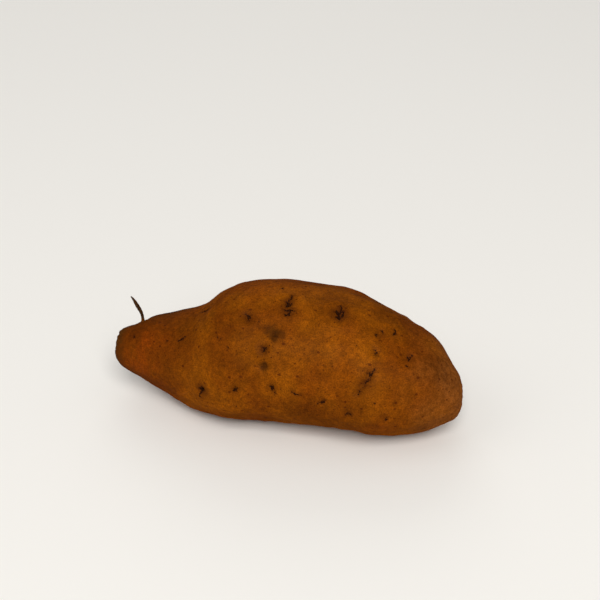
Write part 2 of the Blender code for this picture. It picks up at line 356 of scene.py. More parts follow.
# Broad light and dark areas: place along X, angle, radius, and how much lighter the skin is. They
# mix the skin's own uneven tone with painted light and shade: the dark areas on the crest near
# angle 0, from 20 to 65 along X, are painted shade.
tonesWithPaintedLight = (
    (0, 8, 14, 0.23),
    (37, 44, 12, 0.20),
    (15, 80, 12, 0.12),
    (-18, 72, 8, -0.16),
    (-16, 42, 9, -0.17),
    (1, 72, 7, -0.10),
    (6, 42, 9, 0.08),
    (-48, 113, 12, 0.20),
    (58, 92, 10, 0.10),
    (74, 122, 9, -0.10),
    (28, 120, 7, -0.09),
    (80, 66, 9, 0.12),
    (-72, 85, 12, 0.22),
    (24, 6, 11, -0.22),
    (80, 30, 9, -0.24),
    (35, 76, 8, 0.18),
    (66, 46, 7, 0.06),
    (46, 88, 6, -0.14),
    (39, 91, 9, -0.15),
    (17, 105, 11, -0.32),
    (36, 118, 8, -0.14),
    (-3, 95, 6, 0.08),
    (-31, 112, 7, 0.20),
    (-45, 42, 8, -0.10),
    (-41, 66, 5, 0.08),
    (20, 56, 8, -0.14),
    (-68, 50, 10, 0.11),
    (-79, 73, 6, 0.14),
    (-77, 18, 6, -0.13),
    (-57, 76, 8, -0.22),
    (-55, 28, 6, -0.18),
    (-36, 26, 7, -0.08),
    (-49, 10, 6, -0.16),
    (-34, 58, 7, 0.12),
    (63, -4, 8, -0.12),
    (52, -14, 9, -0.18),
    (-20, 200, 18, -0.16),
    (40, 255, 16, 0.14),
    (-30, 300, 16, 0.14),
    (10, 330, 12, -0.12),
    (-55, 235, 14, -0.10),
)

# Redder areas: place along X, angle, radius, strength.
ruddy = (
    (-73, 34, 6, 0.35),
    (-68, 58, 9, 0.50),
    (-62, 39, 6, 0.35),
    (-76, 92, 7, 0.25),
    (-56, 156, 9, 0.45),
    (-70, 226, 9, 0.45),
    (-50, 300, 8, 0.35),
    (52, 128, 9, 0.30),
    (20, 208, 10, 0.30),
)

# The dull brown band along the top of the neck, partly its own tone and partly painted shadow, and
# the dull collar round its very end: where each starts and is full along X, how strong it is and
# the noise that makes its edge ragged.
dullBandAndShadow = {
    "ends": (-48, -64),
    "angle": -34,
    "spread": 34,
    "strength": 1.15,
    "ragged": (6.0, 9.0, 47),
    "collarEnds": (-82.5, -87.5),
    "collarStrength": 0.85,
    "collarRagged": (1.6, 3.6, 48),
}

# The warm neck and the rosy root end: where each starts and is full along X, and its ragged edge.
endTones = {
    "neck": (-34.0, -72.0, (7.0, 14.0, 51)),
    "tip": (61.0, 87.0, (8.0, 12.0, 52)),
}

# The lattices of random values that the noise reads, one for each seed.
lattices = {}
latticeSide = 64


# Smooth noise between -1 and 1: random values on a lattice of cells, blended by smoothed parts
# between the eight corners round each point. The size may differ along X, Y and Z.
def softNoise(points, size, seed):
    if seed not in lattices:
        values = np.random.default_rng(seed).uniform(-1.0, 1.0, (latticeSide,) * 3)
        lattices[seed] = values
    cells = points / np.array(size)
    corner = np.floor(cells).astype(int)
    part = cells - corner
    part = part * part * (3.0 - 2.0 * part)
    total = np.zeros(len(points))
    for step in np.ndindex(2, 2, 2):
        weight = np.where(step, part, 1.0 - part).prod(axis=1)
        total += weight * lattices[seed][tuple(((corner + step) % latticeSide).T)]
    return total


# A noise with its amount, the size of its lumps and its seed.
def noiseOf(points, settings):
    amount, size, seed = settings
    return amount * softNoise(points, size, seed)


# A bell: 1 in the middle, falling as the exponential of minus the squared distance in widths.
def bump(distance, width):
    return np.exp(-((distance / width) ** 2))


# 0 before the start, 1 past the end, and a smooth cubic between them.
def smoothStep(value, start, end):
    part = np.clip((value - start) / (end - start), 0.0, 1.0)
    return part * part * (3.0 - 2.0 * part)


# A cubic curve through rows of numbers. The knots are the lengths between rows over the first
# columns, each slope comes from the two neighbours, and the first and last rows only lead in.
def cubicThrough(rows, columns, part):
    gaps = np.linalg.norm(np.diff(rows[:, :columns], axis=0), axis=1)
    knots = np.concatenate([[0.0], np.cumsum(gaps)])
    slopes = np.zeros_like(rows)
    slopes[1:-1] = (rows[2:] - rows[:-2]) / (knots[2:] - knots[:-2])[:, None]
    at = knots[1] + np.clip(part, 0.0, 1.0) * (knots[-2] - knots[1])
    index = np.clip(np.searchsorted(knots, at, side="right") - 1, 1, len(rows) - 3)
    gap = (knots[index + 1] - knots[index])[:, None]
    share = (at - knots[index])[:, None] / gap
    rise = share * share * (3.0 - 2.0 * share) * (rows[index + 1] - rows[index])
    leave = share * (1.0 - share) ** 2 * slopes[index]
    arrive = share * share * (1.0 - share) * slopes[index + 1]
    return rows[index] + rise + gap * (leave - arrive)


# The stations' curve. Past each end the table is mirrored with its half sizes turned negative,
# so both tips close round.
def throughStations(along):
    rows = np.array(body["stations"])
    flip = np.array([1.0, -1.0, -1.0, 1.0, 1.0])
    rows = np.vstack([rows[1] * flip, rows, rows[-2] * flip])
    return cubicThrough(rows, 2, along)


# The plain body: an ellipse at each place along it.
def plainPoints(along, angle):
    x, halfWidth, halfHeight, back, high = throughStations(along).T
    return np.stack(
        [x, back - halfWidth * np.sin(angle), high + halfHeight * np.cos(angle)], axis=1
    )


# The direction straight out at an angle round the body.
def outwardOf(angle):
    return np.stack([np.zeros_like(angle), -np.sin(angle), np.cos(angle)], axis=1)


# The place along X of closely spaced parts along the body, and the middle of the stem face.
partSamples = np.linspace(0.0, 1.0, 2001)
placeSamples = throughStations(partSamples)[:, 0]
stemMiddle = throughStations(np.zeros(1))[0, [0, 3, 4]]


# Where places along X (mm) and angles (degrees) lie, as parts along the body and radians.
def spotsOf(x, degrees):
    along = np.interp(x, placeSamples, partSamples)
    return np.atleast_1d(along), np.radians(np.atleast_1d(np.asarray(degrees, float)))


# The point of the plain body at a place along X and an angle.
def plainSpot(x, degrees):
    return plainPoints(*spotsOf(x, degrees))[0]


# How far each point lies from such a spot.
def distanceTo(plain, x, degrees):
    return np.linalg.norm(plain - plainSpot(x, degrees), axis=1)


# The sum of soft round areas, each with its place along X, angle, radius and amount in the middle.
def areaSum(plain, areas):
    total = np.zeros(len(plain))
    for x, degrees, radius, amount in areas:
        total += amount * bump(distanceTo(plain, x, degrees), radius)
    return total


# 0 at both ends of the body, rising evenly to 1 over the bare share of the length.
def clearOfEnds(along):
    return np.clip(np.minimum(along, 1.0 - along) / body["bareEnd"], 0.0, 1.0)


# A sum of waves that run along the body and round it.
def swellHeight(along, angle):
    height = np.zeros_like(along)
    for size, waves, turns, phase in body["swells"]:
        height += size * np.sin(2.0 * math.pi * waves * along + turns * angle + math.radians(phase))
    return height * clearOfEnds(along)


# Each furrow is a trough across the angle, and its angle sways along the body.
def furrowHeight(along, angle):
    height = np.zeros_like(along)
    radius = throughStations(along)[:, 1:3].mean(axis=1)
    for middle, sway, waves, depth in body["furrows"]:
        line = np.radians(middle + sway * np.sin(2.0 * math.pi * waves * along + middle))
        across = np.arctan2(np.sin(angle - line), np.cos(angle - line)) * radius
        height -= depth * bump(across, body["furrowWidth"])
    return height * clearOfEnds(along)


# The eyes of the far side. In each row they follow each other at the spacing, with drawn shifts.
def hiddenEyes():
    draw = random.Random(eyes["seed"])
    found = []
    for row in eyes["rows"]:
        x = eyes["rowStart"] + draw.uniform(0, eyes["spacing"])
        while x < eyes["rowEnd"]:
            width = draw.uniform(*eyes["widths"])
            degrees = row + draw.uniform(-eyes["rowShift"], eyes["rowShift"])
            found.append((x, degrees, width, eyes["depthShare"] * width))
            x += eyes["spacing"] + draw.uniform(-eyes["shift"], eyes["shift"])
    return found


# Each eye is a round dent, a bell across its width, with a low lip as a second bell round it.
def eyeHeight(plain):
    height = np.zeros(len(plain))
    for x, degrees, width, depth in (*eyes["front"], *hiddenEyes()):
        distance = distanceTo(plain, x, degrees)
        height -= depth * bump(distance, width)
        lip = bump(distance - eyes["lipPlace"] * width, eyes["lipWidth"] * width)
        height += eyes["lipHeight"] * depth * lip
    return height


# The split is a trough along the straight line between its ends.
def splitHeight(plain):
    start, end = plainSpot(*split["start"]), plainSpot(*split["end"])
    part = np.clip((plain - start) @ (end - start) / ((end - start) @ (end - start)), 0.0, 1.0)
    distance = np.linalg.norm(plain - start - part[:, None] * (end - start), axis=1)
    return -split["depth"] * bump(distance, split["width"])


# How far each point lies from the middle of the stem face, across the body.
def acrossStem(plain):
    return np.hypot(plain[:, 1] - stemMiddle[1], plain[:, 2] - stemMiddle[2])


# How far the stem face is pushed in along +X: a dish in the middle and a rim that stands out.
def stemPush(plain):
    across = acrossStem(plain)
    push = stemFace["dish"] * bump(across, stemFace["dishWidth"])
    push -= stemFace["rim"] * bump(across - stemFace["rimPlace"], stemFace["rimWidth"])
    return push * np.clip(1.0 - (plain[:, 0] - stemMiddle[0]) / stemFace["reach"], 0.0, 1.0)


# The same form as the solid: the plain body with every large dent and rise on it.
def formPoints(along, angle):
    plain = plainPoints(along, angle)
    height = swellHeight(along, angle) + furrowHeight(along, angle) + areaSum(plain, body["bulges"])
    height += eyeHeight(plain) + splitHeight(plain)
    points = plain + height[:, None] * outwardOf(angle)
    points[:, 0] += stemPush(plain)
    return points


# The form's normals: the cross product of a small step round it and one along it. At the poles
# the steps round it vanish, so they are taken a little way in.
def formNormals(along, angle):
    poleGap, lengthStep, turnStep = 0.003, 0.0015, 0.015
    inside = np.clip(along, poleGap, 1.0 - poleGap)
    lengthwise = formPoints(inside + lengthStep, angle) - formPoints(inside - lengthStep, angle)
    sideways = formPoints(inside, angle + turnStep) - formPoints(inside, angle - turnStep)
    normals = np.cross(sideways, lengthwise)
    return normals / np.linalg.norm(normals, axis=1)[:, None]


# All scars: the ones on the front, one in each eye of the far side, and small dots over it.
def allScars():
    draw = random.Random(scars["seed"])
    found = list(scars["front"])
    for x, degrees, width, depth in hiddenEyes():
        kind = draw.choice(scars["hiddenKinds"])
        size = draw.uniform(*scars["hiddenSize"]) * width
        darkness = draw.uniform(*scars["hiddenDarkness"])
        turn = draw.uniform(*scars["hiddenTurn"])
        found.append((x, degrees, kind, size, turn, darkness))
    for number in range(scars["hiddenDots"]):
        x, degrees, size, turn, darkness = [draw.uniform(*limits) for limits in scars["dotDraws"]]
        found.append((x, degrees, "dot", size, turn, darkness))
    return found


# A scar's strokes, each scaled and turned, as arrays of millimetres right and down.
def strokesOf(scar):
    kind, size, turn = scar[2:5]
    c, s = math.cos(math.radians(turn)), math.sin(math.radians(turn))
    matrix = size * np.array([[c, s], [-s, c]])
    return [np.array(stroke) @ matrix for stroke in scars["kinds"][kind]]


# The distance from each flat place to the nearest of a stroke's straight pieces.
def strokeDistance(flat, stroke):
    nearest = np.full(len(flat), np.inf)
    for start, end in zip(stroke[:-1], stroke[1:]):
        line = end - start
        part = np.clip((flat - start) @ line / (line @ line), 0.0, 1.0)
        nearest = np.minimum(nearest, np.linalg.norm(flat - start - part[:, None] * line, axis=1))
    return nearest


# How strongly each point is stained by a scar's strokes, by the smear round them, and by the
# wide bruise round the larger scars: bells of the distance. Noise bends the strokes out of line.
def scarMasks(plain):
    stain, smear, bruise = np.zeros((3, len(plain)))
    bend = [
        noiseOf(plain, (scars["wobble"], scars["wobbleSize"], scars["seed"] + number))
        for number in (1, 2)
    ]
    for scar in allScars():
        x, degrees, kind, size, _, darkness = scar
        offset = plain - plainSpot(x, degrees)
        distance = np.linalg.norm(offset, axis=1)
        near = np.flatnonzero(distance < scars["reach"])
        angle = math.radians(degrees)
        down = np.array([0.0, -math.cos(angle), -math.sin(angle)])
        right = offset[near, 0] + bend[0][near]
        flat = np.stack([right, offset[near] @ down + bend[1][near]], axis=1)
        scale = scars["leastScale"] + scars["scaleShare"] * min(size, scars["largestScaled"])
        wide = scale * scars["smearWidth" if kind in scars["bruised"] else "smallSmear"]
        for stroke in strokesOf(scar):
            away = strokeDistance(flat, stroke)
            dark = darkness * bump(away, scars["strokeWidth"] * scale)
            brown = min(darkness, 1.0) ** 2 * bump(away, wide)
            stain[near] = np.maximum(stain[near], dark)
            smear[near] = np.maximum(smear[near], brown)
        if kind in scars["bruised"]:
            spread = bump(distance[near], scars["bruiseWidth"] * size)
            bruise[near] = np.maximum(bruise[near], darkness * spread)
    return stain, smear, bruise


# How corky each point is: round patches whose edges are broken up by noise.
def scurfMask(plain):
    ragged = noiseOf(plain, scurf["ragged"])
    mask = np.zeros(len(plain))
    for x, degrees, radius, strength in scurf["patches"]:
        distance = distanceTo(plain, x, degrees) / radius
        mask = np.maximum(mask, strength * smoothStep(distance + ragged, *scurf["edge"]))
    return mask


# The angle between each point's place round the body and a given angle, in degrees.
def turnedFrom(angle, degrees):
    turned = angle - math.radians(degrees)
    return np.degrees(np.arctan2(np.sin(turned), np.cos(turned)))


# 1 along the top of the neck and round its very end: smooth steps along the body, and for the
# band a bell round it. The band is partly the neck's dull brown and partly painted shadow.
def dullAndShadowMask(plain, angle):
    edge = plain[:, 0] + noiseOf(plain, dullBandAndShadow["ragged"])
    around = bump(turnedFrom(angle, dullBandAndShadow["angle"]), dullBandAndShadow["spread"])
    band = dullBandAndShadow["strength"] * smoothStep(edge, *dullBandAndShadow["ends"]) * around
    edge = plain[:, 0] + noiseOf(plain, dullBandAndShadow["collarRagged"])
    collar = dullBandAndShadow["collarStrength"] * smoothStep(edge, *dullBandAndShadow["collarEnds"])
    return np.clip(np.maximum(band, collar), 0.0, 1.0)


# 1 at one end of the body, with a smooth ragged step to 0 towards its middle.
def endMask(plain, title):
    start, full, ragged = endTones[title]
    return smoothStep(plain[:, 0] + noiseOf(plain, ragged), start, full)


# 1 on the corky stem face, with a soft ragged edge that a bell moves back on its upper side.
def stemMask(plain, angle):
    lap = stemFace["corkLap"] * bump(turnedFrom(angle, stemFace["lapAngle"]), stemFace["lapSpread"])
    edge = plain[:, 0] - stemFace["corkEnd"] - lap
    for ragged in stemFace["corkRagged"]:
        edge += noiseOf(plain, ragged)
    return smoothStep(edge, *stemFace["corkEdge"])


# The stem face's own relief: ridges that fan out from its middle, rings and crumbs.
def faceHeight(plain, angle):
    across = acrossStem(plain)
    fan = np.sin(stemFace["ridges"] * angle + noiseOf(plain, stemFace["ridgeSway"]))
    ring = np.sin(2.0 * math.pi * across / stemFace["rings"] + noiseOf(plain, stemFace["ringSway"]))
    height = stemFace["ridgeHeight"] * smoothStep(across, *stemFace["ridgeEnds"]) * fan
    height += stemFace["ringHeight"] * ring + noiseOf(plain, stemFace["crumbs"])
    return height * stemMask(plain, angle) * smoothStep(across, *stemFace["reliefEnds"])


# Fine relief, measured along the normal: pillows, dimples, grain and long ribs everywhere,
# wrinkles on both ends, each a swell with a sharp cut in it, creases, and the stem face's own.
def fineHeight(plain, along, angle):
    height = faceHeight(plain, angle)
    for title in ("pillows", "dimples", "grain", "ribs"):
        height += noiseOf(plain, relief[title])
    neck, tip = smoothStep(plain[:, 0], *relief["neck"]), smoothStep(plain[:, 0], *relief["tip"])
    rise, size, seed = relief["wrinkles"]
    wrinkle = softNoise(plain, size, seed)
    cut = relief["wrinkleCut"] * bump(wrinkle, relief["wrinkleCutWidth"])
    ends = np.maximum(neck, relief["tipShare"] * tip)
    height += rise * ends * (relief["wrinkleSwell"] * wrinkle - cut)
    sway = noiseOf(plain, relief["creaseSway"])
    for x, degrees, spread, depth in relief["creases"]:
        around = bump(turnedFrom(angle, degrees), spread)
        height -= depth * bump(plain[:, 0] - x + sway, relief["creaseWidth"]) * around
    return height * smoothStep(np.minimum(along, 1.0 - along), 0.0, relief["poleFade"])


# The finished surface, cut level where it lies on the ground, with its normals.
def skinPoints(along, angle):
    plain = plainPoints(along, angle)
    normals = formNormals(along, angle)
    stain = scarMasks(plain)[0]
    height = fineHeight(plain, along, angle) - scars["strokeDepth"] * np.minimum(stain, 1.0)
    height += scurfMask(plain) * noiseOf(plain, scurf["relief"])
    points = formPoints(along, angle) + height[:, None] * normals
    points[:, 2] = np.maximum(points[:, 2], 0.0)
    return points, normals


# The solid is centred on its footprint. This is how far the form above has to move to match it:
# from the middle of its own box to the middle of the solid's, and not up or down.
def shiftToSolid():
    rings, sides = 181, 120
    parts, turns = np.linspace(0.0, 1.0, rings), np.linspace(0.0, 2.0 * math.pi, sides)
    along, turn = np.meshgrid(parts, turns)
    form = formPoints(along.ravel(), turn.ravel())
    low, high = [np.array(corner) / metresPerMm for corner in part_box("tuber")]
    shift = (low + high - form.min(axis=0) - form.max(axis=0)) / 2.0
    shift[2] = 0.0
    return shift


# Faces of a closed grid of rings: quads between neighbouring rings, and a fan of triangles to a
# pole at each end. The poles' points come after the rings'.
def closedGridFaces(rings, sides):
    ring, side = np.meshgrid(np.arange(rings - 1), np.arange(sides), indexing="ij")
    beside = (side + 1) % sides
    here, ahead = ring * sides, (ring + 1) * sides
    quads = np.stack([here + side, here + beside, ahead + beside, ahead + side], axis=-1).reshape(-1, 4)
    around = np.arange(sides)
    following = (around + 1) % sides
    last = (rings - 1) * sides
    startFan = np.stack([np.full(sides, rings * sides), following, around], axis=1)
    endFan = np.stack([np.full(sides, rings * sides + 1), last + around, last + following], axis=1)
    return quads, np.vstack([startFan, endFan])


# Six times the volume that quads and triangles enclose: the sum of the triple products of their
# triangles' corners, which is negative when they are inside out.
def signedVolume(points, quads, triangles):
    every = np.vstack([quads[:, [0, 1, 2]], quads[:, [0, 2, 3]], triangles])
    a, b, c = points[every[:, 0]], points[every[:, 1]], points[every[:, 2]]
    return np.einsum("ij,ij->i", a, np.cross(b, c)).sum()


# Makes a mesh object from points in millimetres. Faces are turned round if they point inwards.
def makeObject(name, points, quads, triangles, material, values=None):
    if signedVolume(points, quads, triangles) < 0.0:
        quads, triangles = quads[:, ::-1], triangles[:, ::-1]
    mesh = bpy.data.meshes.new(name)
    mesh.vertices.add(len(points))
    mesh.vertices.foreach_set("co", ((points + shift) * metresPerMm).astype(np.float32).ravel())
    mesh.loops.add(quads.size + triangles.size)
    corners = np.concatenate([quads.ravel(), triangles.ravel()])
    mesh.loops.foreach_set("vertex_index", corners.astype(np.int32))
    starts = np.concatenate([4 * np.arange(len(quads)), quads.size + 3 * np.arange(len(triangles))])
    mesh.polygons.add(len(starts))
    mesh.polygons.foreach_set("loop_start", starts.astype(np.int32))
    mesh.update(calc_edges=True)
    mesh.validate()
    for title, numbers in (values or {}).items():
        kind, key = ("FLOAT_VECTOR", "vector") if np.ndim(numbers) == 2 else ("FLOAT", "value")
        layer = mesh.attributes.new(title, kind, "POINT")
        layer.data.foreach_set(key, np.asarray(numbers, np.float32).ravel())
    mesh.shade_smooth()
    mesh.materials.append(material)
    made = bpy.data.objects.new(name, mesh)
    bpy.context.scene.collection.objects.link(made)
    return made


# Nodes are laid out in rows of this many, at these distances.
nodesInRow, nodeWidth, nodeHeight = 12, 180.0, 220.0


# Adds a node. Each input takes a value or another node's output, and one output comes back.
def addNode(tree, kind, inputs=None, output=0, **settings):
    made = tree.nodes.new(kind)
    row, column = divmod(len(tree.nodes), nodesInRow)
    made.location = (nodeWidth * column, -nodeHeight * row)
    for title, value in settings.items():
        setattr(made, title, value)
    for title, value in (inputs or {}).items():
        if isinstance(value, bpy.types.NodeSocket):
            tree.links.new(value, made.inputs[title])
        else:
            made.inputs[title].default_value = value
    return made.outputs[output]


# One operation of arithmetic on values.
def calculate(tree, operation, first, second=0.0, third=0.0):
    return addNode(tree, "ShaderNodeMath", {0: first, 1: second, 2: third}, operation=operation)


# The same on places and other vectors.
def reckonPlace(tree, operation, first, second):
    return addNode(tree, "ShaderNodeVectorMath", {0: first, 1: second}, operation=operation)


# Runs smoothly from one value to another while the input goes from its low to its high.
def ease(tree, value, low, high, fromValue=0.0, toValue=1.0):
    inputs = {"Value": value, "From Min": low, "From Max": high}
    inputs.update({"To Min": fromValue, "To Max": toValue})
    return addNode(tree, "ShaderNodeMapRange", inputs, interpolation_type="SMOOTHSTEP")


# Mixes two colours. In a Mix node they are inputs 6 and 7, and output 2.
def blend(tree, factor, first, second, mode="MIX"):
    inputs = {0: factor, 6: first, 7: second}
    settings = {"data_type": "RGBA", "blend_type": mode, "clamp_factor": True}
    return addNode(tree, "ShaderNodeMix", inputs, 2, **settings)


# A value that the mesh keeps at each point: output 2 of an Attribute node.
def readValue(tree, title):
    return addNode(tree, "ShaderNodeAttribute", None, 2, attribute_name=title)


# Object coordinates, scaled to millimetres.
def placeInMm(tree):
    inputs = {0: addNode(tree, "ShaderNodeTexCoord", None, "Object"), "Scale": 1.0 / metresPerMm}
    return addNode(tree, "ShaderNodeVectorMath", inputs, operation="SCALE")


# Noise read on a place. Output 0 is its value and output 1 three values at once, as a colour.
def noiseNode(tree, place, scale, detail, output=0):
    inputs = {"Vector": place, "Scale": scale, "Detail": detail}
    return addNode(tree, "ShaderNodeTexNoise", inputs, output)


# A node group with the given inputs and outputs, each a name with its default or its kind.
def startGroup(title, inputs, outputs):
    group = bpy.data.node_groups.new(title, "ShaderNodeTree")
    for name, default in inputs.items():
        kind = "NodeSocketVector" if default is None else "NodeSocketFloat"
        socket = group.interface.new_socket(name=name, in_out="INPUT", socket_type=kind)
        if default is not None:
            socket.default_value = default
    for name in outputs:
        group.interface.new_socket(name=name, in_out="OUTPUT", socket_type="NodeSocketFloat")
    source = group.nodes.new("NodeGroupInput")
    return group, source.outputs, group.nodes.new("NodeGroupOutput").inputs


# Places a group in a material with its own values.
def useGroup(tree, group, inputs, output=0):
    return addNode(tree, "ShaderNodeGroup", inputs, output, node_tree=group)


# Soft patches: noise whose lumps have the given size, eased between a low and a high.
def softPatchesGroup():
    inputs = {"Vector": None, "Size": 8.0, "Detail": 2.0, "Low": 0.35, "High": 0.65, "Shift": 0.0}
    group, given, wanted = startGroup("softPatches", inputs, ("Value",))
    scale = calculate(group, "DIVIDE", 1.0, given["Size"])
    moved = reckonPlace(group, "ADD", given["Vector"], given["Shift"])
    noise = noiseNode(group, moved, scale, given["Detail"])
    group.links.new(ease(group, noise, given["Low"], given["High"]), wanted["Value"])
    return group


# Grain that runs lengthwise: noise read in a space that is squeezed along X.
def lengthGrainGroup():
    inputs = {"Vector": None, "Size": 1.0, "Stretch": 6.0, "Detail": 3.0}
    group, given, wanted = startGroup("lengthGrain", inputs, ("Value",))
    squeeze = calculate(group, "DIVIDE", 1.0, given["Stretch"])
    factors = addNode(group, "ShaderNodeCombineXYZ", {"X": squeeze, "Y": 1.0, "Z": 1.0})
    place = reckonPlace(group, "MULTIPLY", given["Vector"], factors)
    scale = calculate(group, "DIVIDE", 1.0, given["Size"])
    group.links.new(noiseNode(group, place, scale, given["Detail"]), wanted["Value"])
    return group


# Small round flecks: one in each Voronoi cell that its own random number lets through, with a
# random size between a least share of the given radius and all of it.
def flecksGroup():
    leastShare = 0.3
    inputs = {"Vector": None, "Spacing": 2.5, "Radius": 0.3, "Share": 0.6, "Softness": 0.5}
    group, given, wanted = startGroup("flecks", inputs, ("Mask",))
    scale = calculate(group, "DIVIDE", 1.0, given["Spacing"])
    cells = group.nodes.new("ShaderNodeTexVoronoi")
    group.links.new(given["Vector"], cells.inputs["Vector"])
    group.links.new(scale, cells.inputs["Scale"])
    chance = addNode(group, "ShaderNodeSeparateColor", {"Color": cells.outputs["Color"]}, "Red")
    distance = calculate(group, "MULTIPLY", cells.outputs["Distance"], given["Spacing"])
    share = calculate(group, "MULTIPLY_ADD", chance, 1.0 - leastShare, leastShare)
    radius = calculate(group, "MULTIPLY", given["Radius"], share)
    inner = calculate(group, "MULTIPLY", radius, calculate(group, "SUBTRACT", 1.0, given["Softness"]))
    spot = ease(group, distance, inner, radius, 1.0, 0.0)
    shown = calculate(group, "LESS_THAN", chance.node.outputs["Green"], given["Share"])
    group.links.new(calculate(group, "MULTIPLY", spot, shown), wanted["Mask"])
    return group


# Cork: cracks where the distance to the edge of warped cells is small, and a tone for each cell.
def corkGroup():
    warpDetail = 3.0
    inputs = {"Vector": None, "Size": 2.0, "Crack": 0.12}
    group, given, wanted = startGroup("cork", inputs, ("Cracks", "Tone"))
    scale = calculate(group, "DIVIDE", 1.0, given["Size"])
    warp = noiseNode(group, given["Vector"], scale, warpDetail, 1)
    moved = reckonPlace(group, "MULTIPLY", warp, given["Size"])
    cellPlace = {"Vector": reckonPlace(group, "ADD", given["Vector"], moved), "Scale": scale}
    edges = addNode(group, "ShaderNodeTexVoronoi", cellPlace, feature="DISTANCE_TO_EDGE")
    cells = addNode(group, "ShaderNodeTexVoronoi", cellPlace, "Color")
    group.links.new(ease(group, edges, 0.0, given["Crack"], 1.0, 0.0), wanted["Cracks"])
    tone = addNode(group, "ShaderNodeSeparateColor", {"Color": cells}, "Red")
    group.links.new(tone, wanted["Tone"])
    return group


# The gloss is a weak coat over a base without any, so grazing light doesn't turn the edges grey.
def startMaterial(title, gloss, glossRoughness):
    material = bpy.data.materials.new(title)
    material.use_nodes = True
    shader = material.node_tree.nodes["Principled BSDF"]
    shader.inputs["Metallic"].default_value = 0.0
    shader.inputs["Specular IOR Level"].default_value = 0.0
    shader.inputs["Coat Weight"].default_value = gloss
    shader.inputs["Coat Roughness"].default_value = glossRoughness
    return material, material.node_tree, shader


# Turns a height in millimetres into the shader's normal.
def bumpNormal(tree, shader, height):
    inputs = {"Strength": 1.0, "Distance": metresPerMm, "Height": height}
    tree.links.new(addNode(tree, "ShaderNodeBump", inputs, "Normal"), shader.inputs["Normal"])


# The skin's tones, as linear colours, its patterns, and how strongly each shows.
skinLook = {
    "gloss": 0.05,
    "glossRoughness": 0.55,
    "amber": (0.150, 0.0335, 0.0008, 1.0),
    "golden": (0.212, 0.0565, 0.0010, 1.0),
    "neck": (0.122, 0.0255, 0.0008, 1.0),
    "ruddy": (0.172, 0.0300, 0.0006, 1.0),
    "rosy": (0.200, 0.0600, 0.0088, 1.0),
    "fleck": (0.058, 0.0090, 0.0004, 1.0),
    # dull brown of the cork and the neck's end and top; on the top it is also painted shadow
    "dullAndShadow": (0.076, 0.0212, 0.0018, 1.0),
    "cork": (0.100, 0.0360, 0.0050, 1.0),
    "scurf": (0.033, 0.0088, 0.0008, 1.0),
    "scurfLight": (0.056, 0.0175, 0.0011, 1.0),
    "smear": (0.048, 0.0098, 0.0010, 1.0),
    "scar": (0.0125, 0.0031, 0.0017, 1.0),
    # soil brown: dirt with painted shade in the dents, and the brown of bruises round scars
    "dirtAndShade": (0.069, 0.0155, 0.0010, 1.0),
    "patches": {            # size of a lump, the noise's low and high, its shift and its detail
        "broad": (26.0, 0.34, 0.66, 0.0, 2.0),
        "mottle": (7.0, 0.30, 0.70, 40.0, 2.0),
        "blotch": (2.3, 0.30, 0.70, 80.0, 3.0),
        "grain": (0.55, 0.28, 0.72, 120.0, 3.0),
        "lumps": (1.7, 0.32, 0.68, 160.0, 3.0),
        "crumbs": (0.75, 0.30, 0.70, 200.0, 2.0),
    },
    "streaks": {"Size": 0.9, "Stretch": 9.0},
    "cracks": {"Size": 1.6, "Crack": 0.10},
    "fine": {"Spacing": 1.7, "Radius": 0.55, "Share": 0.48, "Softness": 0.45},
    "pores": {"Spacing": 3.3, "Radius": 0.95, "Share": 0.50, "Softness": 0.50},
    "poreSqueeze": 0.7,     # pores are read in a space that is squeezed along X by this
    "toneSwing": 2.2,       # how far a light or dark area moves between amber and golden
    "tints": {              # each pattern's darkest and lightest factor
        "mottle": (0.89, 1.09),
        "blotch": (0.81, 1.15),
        "grain": (0.67, 1.31),
        "streaks": (0.86, 1.13),
    },
    "cover": {              # how much an area's tone covers, at a pattern's low and at its high
        "neck": (0.75, 1.0),
        "ruddy": (0.55, 1.0),
        "tip": (0.65, 0.95),
        # dirt with painted shade in the dents
        "hollowDirtAndShade": (0.15, 0.55),
        "bruise": (0.20, 0.62),
        # the neck's dull brown, with painted shadow along its top
        "dullAndShadow": (0.62, 0.95),
        "scurf": (0.72, 0.95),
        "smear": (0.35, 0.90),
    },
    "bruiseEnds": (0.1, 0.9),       # that low and high for a bruise; the others go from 0 to 1
    "fineCover": (0.56, 0.9),       # how much flecks cover, and how much more where it is bruised
    "poreCover": 0.72,
    "crackCover": 0.7,
    "stemCover": 0.9,
    "crumbled": 0.75,               # how far crumbs move the edge of a scar's black
    "blackEnds": (0.48, 0.78),
    "strokeEnds": (0.10, 0.35),
    "blackCover": 0.95,
    "roughness": (0.60, 0.75),
    "mattRoughness": 0.25,          # what scars, cork and the stem face add to it
    "heights": {                    # of the bump, in millimetres
        "blotch": 0.06,
        "grain": 0.045,
        "streaks": 0.07,
        "fine": -0.035,
        "pores": -0.09,
        "black": -0.12,
        "cracks": -0.12,
        "smear": -0.05,
    },
}


